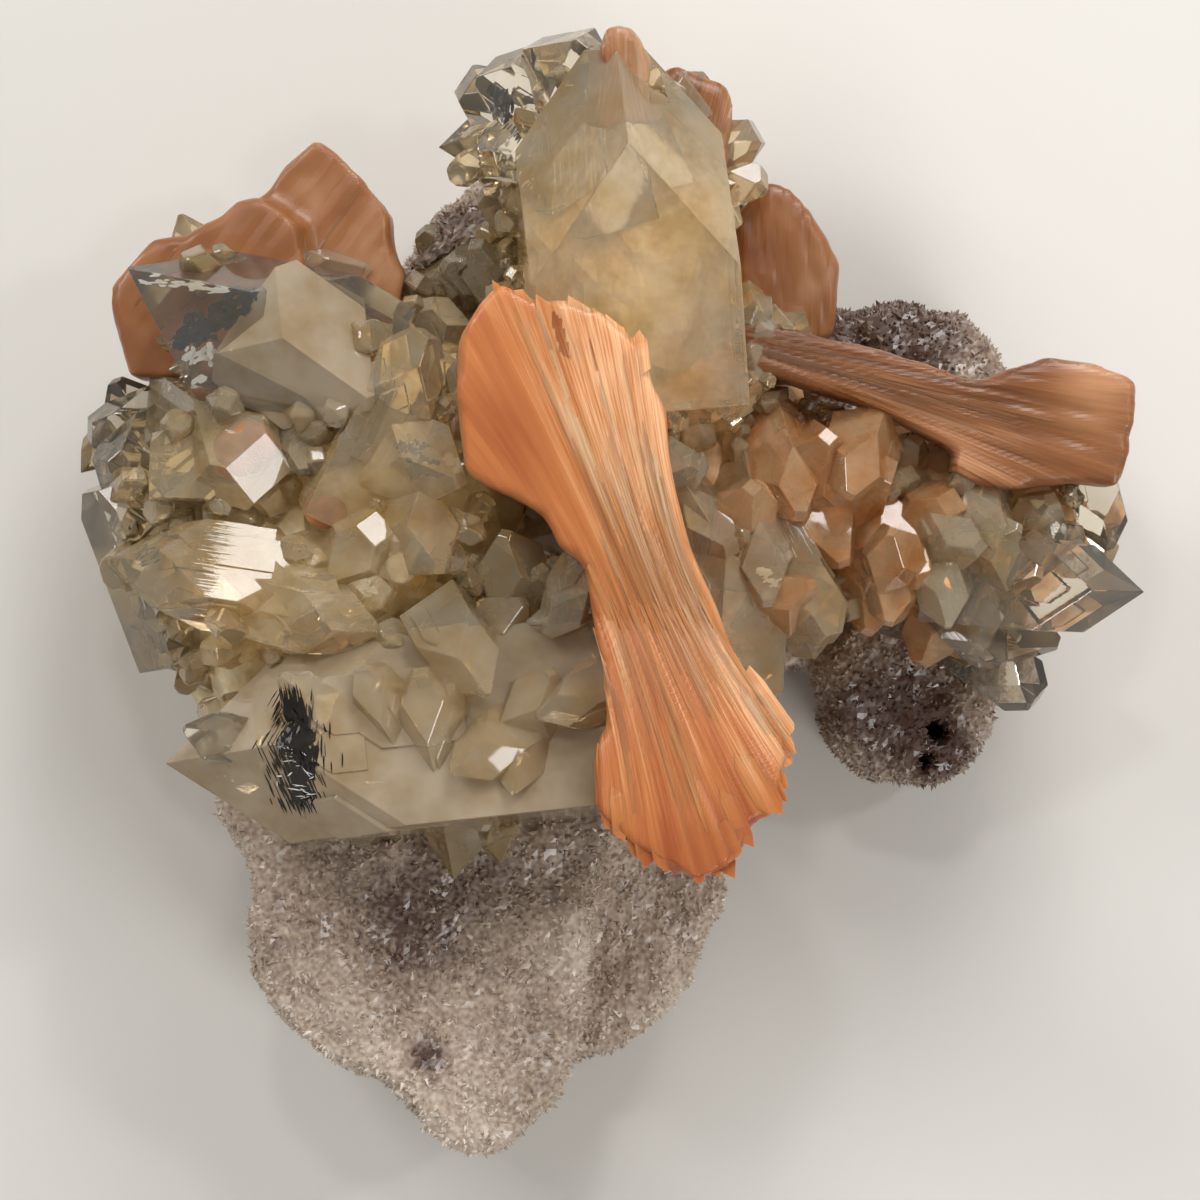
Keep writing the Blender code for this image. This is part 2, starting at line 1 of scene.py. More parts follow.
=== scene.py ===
"""Looks of the apophyllite cluster: glassy crystals, silky stilbite sheaves and a sparkling druse.

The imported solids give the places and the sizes. Points that are given as they are seen from
straight above are in millimetres: u to the right, v up the picture, h over the surface on
which the specimen lies.
"""

import logging
import math
import random
from dataclasses import dataclass, replace
from enum import Enum

import bpy
import numpy as np
from mathutils import Matrix, Vector, noise
from mathutils.bvhtree import BVHTree


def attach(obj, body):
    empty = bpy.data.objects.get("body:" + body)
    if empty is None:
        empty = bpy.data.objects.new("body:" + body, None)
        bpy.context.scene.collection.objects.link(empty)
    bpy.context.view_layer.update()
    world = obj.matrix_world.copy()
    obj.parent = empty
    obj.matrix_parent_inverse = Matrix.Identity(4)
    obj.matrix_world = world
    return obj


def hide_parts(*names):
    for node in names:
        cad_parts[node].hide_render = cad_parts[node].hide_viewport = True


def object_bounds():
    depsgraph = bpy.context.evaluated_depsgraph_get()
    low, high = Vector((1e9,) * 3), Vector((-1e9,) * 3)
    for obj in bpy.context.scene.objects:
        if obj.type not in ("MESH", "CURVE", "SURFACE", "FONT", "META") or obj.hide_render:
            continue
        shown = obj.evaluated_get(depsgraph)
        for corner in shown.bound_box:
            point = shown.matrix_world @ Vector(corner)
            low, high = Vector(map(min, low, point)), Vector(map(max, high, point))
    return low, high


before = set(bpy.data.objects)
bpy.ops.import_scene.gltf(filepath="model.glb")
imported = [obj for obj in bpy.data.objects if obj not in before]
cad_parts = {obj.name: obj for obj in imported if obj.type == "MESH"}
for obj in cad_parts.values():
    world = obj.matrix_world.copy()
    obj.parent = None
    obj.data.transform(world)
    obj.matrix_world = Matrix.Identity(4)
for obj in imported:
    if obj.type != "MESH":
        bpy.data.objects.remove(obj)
CAD_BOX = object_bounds()

MM = 0.001
EYE_DISTANCE = 600.0
MID_HEIGHT = 40.0
HALF_PICTURE = 75.0
# Where the middle of the picture lies in the frame, in metres
PICTURE_MIDDLE = Vector((-0.00132, -0.00034, -0.0015))

# Apophyllite form: a square prism whose corners are cut by a steep pyramid
PYRAMID_SLOPE = math.radians(60.5)
PYRAMID_RISE = math.tan(PYRAMID_SLOPE) * math.sqrt(2)

# Rays that look for a surface start here, over the specimen, in metres
RAY_START = 0.2
DOWN = Vector((0, 0, -1))

log = logging.getLogger("apophyllite cluster")


def seen(u: float, v: float, h: float) -> Vector:
    """Place a point by how it is seen from above.

    Args:
        u: Millimetres to the right of the picture's middle.
        v: Millimetres up from the picture's middle.
        h: Height in millimetres over the surface the specimen lies on.

    Returns:
        The point in the frame, in metres.
    """
    nearer = (EYE_DISTANCE - (h - MID_HEIGHT)) / EYE_DISTANCE
    return Vector((u * nearer, v * nearer, h)) * MM + PICTURE_MIDDLE


def linear(colour: str) -> tuple[float, float, float, float]:
    """Turn an sRGB hex colour to the linear values that shaders take.

    Args:
        colour: Six hex digits.

    Returns:
        Linear red, green, blue, and an alpha of 1.
    """
    channels = [int(colour[i : i + 2], 16) / 255 for i in (0, 2, 4)]
    return (
        *(c / 12.92 if c <= 0.04045 else ((c + 0.055) / 1.055) ** 2.4 for c in channels),
        1.0,
    )


def new_material(
    name: str,
) -> tuple[bpy.types.Material, bpy.types.NodeTree, bpy.types.Node]:
    """Start a material.

    Args:
        name: The material's name.

    Returns:
        The material, its node tree and its principled shader.
    """
    material = bpy.data.materials.new(name)
    material.use_nodes = True
    tree = material.node_tree
    return material, tree, tree.nodes["Principled BSDF"]


def add_node(
    tree: bpy.types.NodeTree,
    kind: str,
    settings: dict | None = None,
    links: dict | None = None,
) -> bpy.types.Node:
    """Add one shader node with its settings and links.

    Args:
        tree: The material's node tree.
        kind: The node's type name without its ShaderNode prefix.
        settings: Values by attribute or by input socket name.
        links: Output sockets by the name or number of the input they feed.

    Returns:
        The new node.
    """
    made = tree.nodes.new("ShaderNode" + kind)
    for key, value in (settings or {}).items():
        if isinstance(key, str) and hasattr(made, key):
            setattr(made, key, value)
        else:
            made.inputs[key].default_value = value
    for key, output in (links or {}).items():
        tree.links.new(output, made.inputs[key])
    return made


def link(obj: bpy.types.Object) -> None:
    """Put an object into the scene."""
    bpy.context.scene.collection.objects.link(obj)


def deselect() -> None:
    """Leave nothing selected, so that an operator acts only on what comes next."""
    if bpy.context.object and bpy.context.object.mode != "OBJECT":
        bpy.ops.object.mode_set(mode="OBJECT")
    bpy.ops.object.select_all(action="DESELECT")


def pick(*objects: bpy.types.Object) -> None:
    """Select some objects only.

    Args:
        objects: The objects, of which the first becomes the active one.
    """
    deselect()
    for obj in objects:
        obj.select_set(True)
    bpy.context.view_layer.objects.active = objects[0]


def apply_modifier(obj: bpy.types.Object, kind: str, **settings) -> None:
    """Add one modifier to an object and apply it.

    Args:
        obj: The object.
        kind: Blender's name of the modifier type.
        settings: The modifier's properties.
    """
    pick(obj)
    modifier = obj.modifiers.new(kind.title(), kind)
    for key, value in settings.items():
        setattr(modifier, key, value)
    bpy.ops.object.modifier_apply(modifier=modifier.name)


def joined(name: str, objects: list[bpy.types.Object]) -> bpy.types.Object:
    """Join objects into one piece.

    Args:
        name: The piece's name.
        objects: What it is made of.

    Returns:
        The piece, at the origin.
    """
    for obj in objects:
        if obj.name not in bpy.context.scene.collection.objects:
            link(obj)
    pick(*objects)
    if len(objects) > 1:
        bpy.ops.object.join()
    piece = bpy.context.object
    piece.name = name
    piece.data.name = name
    deselect()
    return piece


def fused(name: str, objects: list[bpy.types.Object]) -> bpy.types.Object:
    """Fuse closed objects into one skin, so that light meets no wall inside.

    Args:
        name: The piece's name.
        objects: The closed objects, which may overlap.

    Returns:
        The piece, one closed surface.
    """
    grown = bpy.data.collections.new(name)
    bpy.context.scene.collection.children.link(grown)
    for obj in objects[1:]:
        grown.objects.link(obj)
    piece = objects[0]
    link(piece)
    apply_modifier(
        piece, "BOOLEAN", operation="UNION", operand_type="COLLECTION",
        collection=grown, solver="MANIFOLD",
    )
    for obj in objects[1:]:
        bpy.data.objects.remove(obj)
    bpy.data.collections.remove(grown)
    piece.name = name
    piece.data.name = name
    return piece


def copy_of_node(node: str, name: str) -> bpy.types.Object:
    """Copy a solid of the frame as one connected mesh.

    Args:
        node: The solid's name.
        name: The copy's name.

    Returns:
        The copy, free of its parent.
    """
    copy = bpy.data.objects.new(name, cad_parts[node].data.copy())
    link(copy)
    copy.data.materials.clear()
    pick(copy)
    bpy.ops.object.mode_set(mode="EDIT")
    bpy.ops.mesh.select_all(action="SELECT")
    bpy.ops.mesh.remove_doubles(threshold=1e-6)
    bpy.ops.object.mode_set(mode="OBJECT")
    return copy


def points_of(obj: bpy.types.Object) -> np.ndarray:
    """Read an object's vertices.

    Args:
        obj: The object.

    Returns:
        A row of x, y and z for each vertex.
    """
    flat = np.empty(len(obj.data.vertices) * 3, np.float32)
    obj.data.vertices.foreach_get("co", flat)
    return flat.reshape(-1, 3).astype(np.float64)


def move_points(obj: bpy.types.Object, places: np.ndarray) -> None:
    """Give an object's vertices these places."""
    obj.data.vertices.foreach_set("co", places.astype(np.float32).ravel())
    obj.data.update()


def normals_of(obj: bpy.types.Object) -> np.ndarray:
    """Read an object's vertex normals.

    Args:
        obj: The object.

    Returns:
        A row of x, y and z for each vertex.
    """
    flat = np.empty(len(obj.data.vertices) * 3, np.float32)
    obj.data.vertices.foreach_get("normal", flat)
    return flat.reshape(-1, 3).astype(np.float64)


def tree_of(*objects: bpy.types.Object) -> BVHTree:
    """Make one search tree of some objects' faces, for rays.

    Args:
        objects: Objects whose places are in their meshes.

    Returns:
        The tree.
    """
    corners, faces = [], []
    for obj in objects:
        start = len(corners)
        corners.extend(v.co.copy() for v in obj.data.vertices)
        faces.extend([start + i for i in p.vertices] for p in obj.data.polygons)
    return BVHTree.FromPolygons(corners, faces)


def seen_hit(tree: BVHTree, u: float, v: float) -> tuple[Vector, Vector] | None:
    """Find what the eye meets at a place of the picture.

    Args:
        tree: The surface that is looked at.
        u: Millimetres to the right of the picture's middle.
        v: Millimetres up from the picture's middle.

    Returns:
        The point and its normal, or None where the eye meets nothing.
    """
    eye = Vector((0, 0, (EYE_DISTANCE + MID_HEIGHT) * MM)) + PICTURE_MIDDLE
    spot, normal, _, _ = tree.ray_cast(eye, (seen(u, v, MID_HEIGHT) - eye).normalized())
    return None if spot is None else (spot, normal)


def set_share(obj: bpy.types.Object, name: str, values: np.ndarray) -> None:
    """Store one number per vertex, which a finish reads as an attribute."""
    attribute = obj.data.attributes.new(name, "FLOAT", "POINT")
    attribute.data.foreach_set("value", values.astype(np.float32))


def set_uv(obj: bpy.types.Object, places: np.ndarray) -> None:
    """Lay out the map that grain and growth lines follow.

    Args:
        obj: The object.
        places: Each vertex's place on the map.
    """
    corners = np.empty(len(obj.data.loops), np.int32)
    obj.data.loops.foreach_get("vertex_index", corners)
    layer = obj.data.uv_layers.new(name="growth")
    layer.data.foreach_set("uv", places[corners].astype(np.float32).ravel())


def finish_piece(
    piece: bpy.types.Object, material: bpy.types.Material, slot: str, *nodes: str
) -> None:
    """Dress a piece, keep it inside the solids' box, hang it under the root and hide the solids
    that it stands for.

    Args:
        piece: The piece.
        material: Its material.
        slot: The record's slot that it would take its finish from; not used.
        nodes: The solids that it stands for.
    """
    low, high = CAD_BOX
    move_points(piece, np.clip(points_of(piece), low, high))
    piece.data.materials.clear()
    piece.data.materials.append(material)
    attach(piece, "root")
    if nodes:
        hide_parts(*nodes)
    log.info("%s: %d faces", piece.name, len(piece.data.polygons))


class Slot(str, Enum):
    """The record's material slots."""

    APOPHYLLITE = "apophyllite"
    STILBITE = "stilbite"
    CHALCEDONY = "chalcedony"


class Habit(Enum):
    """How clear a crystal grew, which picks its finish."""

    CLEAR = "clear"
    CHAMPAGNE = "champagne"
    MILKY = "milky"
    STAINED = "stained"


@dataclass(frozen=True)
class Apophyllite:
    """Apophyllite as grown: glassy faces with fine lines along the prism, clear to milky.

    clear is the share of light that the faces let in as glass does. The rest is haze, in veils
    that go from deep to pale between the two veil_tones. Between the two etched values of the
    same veils the faces lose their polish, from the first roughness to the second. line_spacing
    and line_relief are in millimetres.
    """

    name: str
    clear: float
    pale: str
    deep: str
    body: str
    density: float
    ior: float = 1.535
    line_spacing: float = 0.35
    line_relief: float = 0.1
    veil_scale: float = 130.0
    veil_tones: tuple[float, float] = (0.35, 0.62)
    etched: tuple[float, float] = (0.5, 0.75)
    roughness: tuple[float, float] = (0.015, 0.12)

    def make(self) -> bpy.types.Material:
        """Build the material.

        Returns:
            See-through glass whose depth turns it champagne, with as much haze as the habit has.
        """
        material, tree, shader = new_material(self.name)
        shader.inputs["Transmission Weight"].default_value = self.clear
        shader.inputs["IOR"].default_value = self.ior
        absorb = add_node(
            tree, "VolumeAbsorption", {"Color": linear(self.body), "Density": self.density}
        )
        output = tree.nodes["Material Output"]
        tree.links.new(absorb.outputs["Volume"], output.inputs["Volume"])
        place = add_node(tree, "TexCoord")
        # Veils of haze 3 to 9 mm across, and etched patches where they are thick
        veils = add_node(
            tree, "TexNoise", {"Scale": self.veil_scale, "Detail": 3.0, "Roughness": 0.6},
            {"Vector": place.outputs["Object"]},
        )
        colour = add_node(tree, "ValToRGB", {}, {"Fac": veils.outputs["Fac"]})
        for stop, place_on, tone in zip(
            colour.color_ramp.elements, self.veil_tones, (self.deep, self.pale)
        ):
            stop.position = place_on
            stop.color = linear(tone)
        tree.links.new(colour.outputs["Color"], shader.inputs["Base Color"])
        polish = add_node(
            tree, "MapRange",
            {
                "From Min": self.etched[0], "From Max": self.etched[1],
                "To Min": self.roughness[0], "To Max": self.roughness[1],
            },
            {"Value": veils.outputs["Fac"]},
        )
        tree.links.new(polish.outputs["Result"], shader.inputs["Roughness"])
        # Growth lines run along the prism, a third of a millimetre apart
        growth = add_node(tree, "UVMap", {"uv_map": "growth"})
        stretch = add_node(
            tree, "Mapping", {"Scale": (1 / (self.line_spacing * MM), 60.0, 1.0)},
            {"Vector": growth.outputs["UV"]},
        )
        lines = add_node(
            tree, "TexNoise", {"Scale": 1.0, "Detail": 1.0}, {"Vector": stretch.outputs["Vector"]}
        )
        bump = add_node(
            tree, "Bump", {"Strength": 0.1, "Distance": self.line_relief * MM},
            {"Height": lines.outputs["Fac"]},
        )
        tree.links.new(bump.outputs["Normal"], shader.inputs["Normal"])
        return material


CRYSTAL_FINISHES = {
    Habit.CLEAR: Apophyllite(
        "clear apophyllite, glassy growth faces", 0.95, "fffdf6", "f6ead0", "ecd8ac", 7.0
    ),
    Habit.CHAMPAGNE: Apophyllite(
        "champagne apophyllite, lightly hazed", 0.8, "fdeccb", "e8cb95", "e8c080", 8.0
    ),
    Habit.MILKY: Apophyllite(
        "milky apophyllite, full of fine veils", 0.62, "ecd8b8", "d2b68c", "e6c896", 9.0
    ),
    Habit.STAINED: Apophyllite(
        "apophyllite stained peach from within", 0.7, "fdd2a0", "e6a262", "eca862", 12.0
    ),
}


@dataclass(frozen=True)
class CloudyMass:
    """Massive or included mineral inside the crystals, in soft clouds of two tones."""

    name: str
    pale: str
    deep: str
    cloud_scale: float = 170.0
    cloud_tones: tuple[float, float] = (0.36, 0.64)
    roughness: float = 0.5

    def make(self) -> bpy.types.Material:
        """Build the material.

        Returns:
            A soft body with clouds some millimetres across.
        """
        material, tree, shader = new_material(self.name)
        shader.inputs["Roughness"].default_value = self.roughness
        place = add_node(tree, "TexCoord")
        cloud = add_node(
            tree, "TexNoise", {"Scale": self.cloud_scale, "Detail": 3.0, "Roughness": 0.62},
            {"Vector": place.outputs["Object"]},
        )
        colour = add_node(tree, "ValToRGB", {}, {"Fac": cloud.outputs["Fac"]})
        for stop, place_on, tone in zip(
            colour.color_ramp.elements, self.cloud_tones, (self.deep, self.pale)
        ):
            stop.position = place_on
            stop.color = linear(tone)
        tree.links.new(colour.outputs["Color"], shader.inputs["Base Color"])
        return material


@dataclass(frozen=True)
class SilkyStilbite:
    """Stilbite sheaf: silky fibres in peach and orange that light glows into.

    threads and bands are how often the two patterns change over a metre, across and along, and
    their shares how much they change the tone. glow is how much light goes into the sheaf.
    glow_depth and relief are in millimetres.
    """

    name: str = "silky peach stilbite"
    pale: str = "f0bb8c"
    middle: str = "c27842"
    deep: str = "a05228"
    clear: float = 0.0
    roughness: float = 0.34
    bands: tuple[float, float] = (520.0, 40.0)
    threads: tuple[float, float] = (3600.0, 70.0)
    thread_share: float = 0.8
    band_share: float = 0.6
    glow: float = 0.4
    glow_depth: float = 3.0
    relief: float = 0.12

    def make(self) -> bpy.types.Material:
        """Build the material.

        Returns:
            Fine streaks along the fibres over a body that scatters light.
        """
        material, tree, shader = new_material(self.name)
        shader.inputs["Roughness"].default_value = self.roughness
        shader.inputs["IOR"].default_value = 1.5
        shader.inputs["Transmission Weight"].default_value = self.clear
        shader.inputs["Subsurface Weight"].default_value = self.glow
        shader.inputs["Subsurface Scale"].default_value = self.glow_depth * MM
        shader.inputs["Subsurface Radius"].default_value = (1.0, 0.6, 0.35)
        growth = add_node(tree, "UVMap", {"uv_map": "growth"})
        # Fibres 0.15 to 0.5 mm wide that keep their colour for 10 mm or more
        fine = add_node(
            tree, "Mapping", {"Scale": (*self.threads, 1.0)}, {"Vector": growth.outputs["UV"]}
        )
        fibres = add_node(
            tree, "TexNoise", {"Scale": 1.0, "Detail": 3.0, "Roughness": 0.7},
            {"Vector": fine.outputs["Vector"]},
        )
        wide = add_node(
            tree, "Mapping", {"Scale": (*self.bands, 1.0)}, {"Vector": growth.outputs["UV"]}
        )
        bands = add_node(
            tree, "TexNoise", {"Scale": 1.0, "Detail": 2.0}, {"Vector": wide.outputs["Vector"]}
        )
        silk = add_node(tree, "Attribute", {"attribute_name": "silk"})
        tone = add_node(tree, "Attribute", {"attribute_name": "tone"})
        centred = add_node(
            tree, "Math", {"operation": "SUBTRACT", 1: 0.5}, {0: fibres.outputs["Fac"]}
        )
        # The same threads raise the fibres in the bump and make them paler: the fibres' own
        # streaks, partly a painted highlight on the raised fibres
        threads = add_node(
            tree, "Math", {"operation": "MULTIPLY"}, {0: centred.outputs[0], 1: silk.outputs["Fac"]}
        )
        streaks = add_node(
            tree, "Math", {"operation": "MULTIPLY_ADD", 1: self.thread_share},
            {0: threads.outputs[0], 2: tone.outputs["Fac"]},
        )
        mixed = add_node(
            tree, "Math", {"operation": "MULTIPLY_ADD", 1: self.band_share},
            {0: bands.outputs["Fac"], 2: streaks.outputs[0]},
        )
        colour = add_node(tree, "ValToRGB", {}, {"Fac": mixed.outputs[0]})
        ramp = colour.color_ramp
        ramp.elements[0].position = 0.12
        ramp.elements[0].color = linear(self.deep)
        ramp.elements[1].position = 0.72
        ramp.elements[1].color = linear(self.pale)
        ramp.elements.new(0.4).color = linear(self.middle)
        tree.links.new(colour.outputs["Color"], shader.inputs["Base Color"])
        bump = add_node(
            tree, "Bump", {"Strength": 0.45, "Distance": self.relief * MM},
            {"Height": threads.outputs[0]},
        )
        tree.links.new(bump.outputs["Normal"], shader.inputs["Normal"])
        return material


@dataclass(frozen=True)
class QuartzDruse:
    """Chalcedony under a sugary coat of quartz points, stained brown, and darker with painted shade
    in places.
    """

    sugar: str = "e0d2c3"
    grey: str = "b09c8a"
    # The dark end of the tones: brown stain, and painted shade where the stain-and-shade table
    # darkens the tone
    stain_and_shade: str = "553f35"
    roughness: float = 0.28
    patch_scale: float = 70.0
    patch_share: float = 0.55
    grain_scale: float = 1600.0
    grain_share: float = 0.35

    def make(self) -> bpy.types.Material:
        """Build the material.

        Returns:
            White-grey grains that glint, with brown-purple patches.
        """
        material, tree, shader = new_material("quartz druse on chalcedony")
        shader.inputs["Roughness"].default_value = self.roughness
        shader.inputs["IOR"].default_value = 1.54
        place = add_node(tree, "TexCoord")
        # Stain patches about 10 mm across
        patches = add_node(
            tree, "TexNoise", {"Scale": self.patch_scale, "Detail": 3.0, "Roughness": 0.6},
            {"Vector": place.outputs["Object"]},
        )
        tone = add_node(tree, "Attribute", {"attribute_name": "tone"})
        mixed = add_node(
            tree, "Math", {"operation": "MULTIPLY_ADD", 1: self.patch_share},
            {0: patches.outputs["Fac"], 2: tone.outputs["Fac"]},
        )
        # Single grains differ by a little
        grains = add_node(
            tree, "TexNoise", {"Scale": self.grain_scale, "Detail": 0.0},
            {"Vector": place.outputs["Object"]},
        )
        total = add_node(
            tree, "Math", {"operation": "MULTIPLY_ADD", 1: self.grain_share},
            {0: grains.outputs["Fac"], 2: mixed.outputs[0]},
        )
        colour = add_node(tree, "ValToRGB", {}, {"Fac": total.outputs[0]})
        ramp = colour.color_ramp
        ramp.elements[0].position = 0.08
        ramp.elements[0].color = linear(self.stain_and_shade)
        ramp.elements[1].position = 0.62
        ramp.elements[1].color = linear(self.sugar)
        ramp.elements.new(0.36).color = linear(self.grey)
        tree.links.new(colour.outputs["Color"], shader.inputs["Base Color"])
        return material


@dataclass(frozen=True)
class Crystal:
    """One apophyllite crystal, placed by its point.

    tip is where the point is seen and how high it is. turn is the bearing of the point in the
    picture, with 90 up the picture, rise its lift towards the eye, and roll the turn about its
    own length, all in degrees. across is the width over opposite prism faces, long the length
    from the point to the root, and blunt the share of the pyramid that is cut off flat. aside
    is a shift in the crystal's own axes.
    """

    tip: tuple[float, float, float]
    turn: float
    rise: float
    roll: float
    across: float
    long: float
    blunt: float = 0.0
    ends: int = 1
    habit: Habit = Habit.CHAMPAGNE
    aside: tuple[float, float, float] = (0.0, 0.0, 0.0)

    def place(self) -> Matrix:
        """Work out where the crystal stands.

        Returns:
            The matrix from the crystal's own axes, its point on +Z, to the frame.
        """
        turn = math.radians(self.turn)
        rise = math.radians(self.rise)
        forward = Vector(
            (math.cos(turn) * math.cos(rise), math.sin(turn) * math.cos(rise), math.sin(rise))
        )
        side = Vector((math.sin(turn), -math.cos(turn), 0.0))
        face = forward.cross(side)
        axes = Matrix((side, face, forward)).transposed().to_4x4()
        rolled = axes @ Matrix.Rotation(math.radians(self.roll), 4, "Z")
        return Matrix.Translation(seen(*self.tip)) @ rolled @ Matrix.Translation(
            Vector(self.aside) * MM
        )

    def model(self, edge: float, uneven: float, rng: random.Random) -> bpy.types.Object:
        """Model the crystal from a cube, its corners cut by the pyramid's planes.

        Args:
            edge: Width of the worn edges, in millimetres.
            uneven: The most that a pyramid face lies back from its ideal place.
            rng: Source of chance for the uneven faces.

        Returns:
            The crystal's object, at the origin, with its place in its mesh.
        """
        half = self.across / 2 * MM
        low = -self.long * MM
        deselect()
        bpy.ops.mesh.primitive_cube_add(size=1.0, calc_uvs=False, location=(0, 0, low / 2))
        obj = bpy.context.object
        obj.scale = (2 * half, 2 * half, -low)
        bpy.ops.object.transform_apply(location=True, rotation=True, scale=True)
        bpy.ops.object.mode_set(mode="EDIT")
        beyond = self.blunt * PYRAMID_RISE * self.across / 2 * MM
        for end in range(self.ends):
            up = 1 - 2 * end
            apex = Vector((0, 0, beyond if end == 0 else -self.long * MM - beyond))
            for corner in range(4):
                bearing = math.radians(45 + 90 * corner)
                normal = Vector(
                    (
                        math.cos(bearing) * math.sin(PYRAMID_SLOPE),
                        math.sin(bearing) * math.sin(PYRAMID_SLOPE),
                        up * math.cos(PYRAMID_SLOPE),
                    )
                )
                back = rng.uniform(0, uneven) * self.across
                bpy.ops.mesh.select_all(action="SELECT")
                bpy.ops.mesh.bisect(
                    plane_co=apex - normal * back * MM,
                    plane_no=normal,
                    use_fill=True,
                    clear_outer=True,
                )
        bpy.ops.mesh.select_all(action="SELECT")
        bpy.ops.mesh.bevel(offset=edge * MM, segments=1, affect="EDGES", clamp_overlap=True)
        bpy.ops.mesh.normals_make_consistent(inside=False)
        bpy.ops.object.mode_set(mode="OBJECT")
        self.lay_lines(obj)
        obj.data.transform(self.place())
        # Kept out of the scene until it is joined, so that operators stay quick
        bpy.context.scene.collection.objects.unlink(obj)
        return obj

    def lay_lines(self, obj: bpy.types.Object) -> None:
        """Map each face so that growth lines run along the prism and miss the pyramid.

        Args:
            obj: The crystal, still in its own axes.
        """
        mesh = obj.data
        layer = mesh.uv_layers.new(name="growth")
        start = (self.turn * 0.37 + self.roll) * MM
        for face in mesh.polygons:
            steep = abs(face.normal.z) < 0.25
            across_x = abs(face.normal.y) > abs(face.normal.x)
            for corner in face.loop_indices:
                co = mesh.vertices[mesh.loops[corner].vertex_index].co
                across = co.x if across_x else co.y
                layer.data[corner].uv = (start + across, co.z) if steep else (start, co.z * 0.02)

    def companions(self, rng: random.Random) -> list["Crystal"]:
        """Smaller crystals grown parallel to this one, which step its faces.

        Args:
            rng: Source of chance.

        Returns:
            The companions, each in this crystal's own axes.
        """
        made = []
        for _ in range(rng.randint(2, 4) + (self.across > 9) * 2 + (self.across > 18) * 3):
            across = self.across * rng.uniform(0.22, 0.5)
            room = (self.across - across) / 2
            out = room + rng.uniform(0.1, 0.45)
            along = rng.uniform(-room, room)
            spot = rng.choice(((out, along), (-out, along), (along, out), (along, -out)))
            drop = PYRAMID_RISE / 2 * (abs(spot[0]) + abs(spot[1]))
            drop += rng.uniform(0.0, 0.3) * self.across
            long = min(self.long - drop - 1.0, across * rng.uniform(1.5, 3.5))
            if long < across:
                continue
            made.append(
                replace(
                    self, across=across, long=long, ends=1,
                    blunt=rng.uniform(0.0, 0.5), aside=(*spot, -drop),
                )
            )
        return made


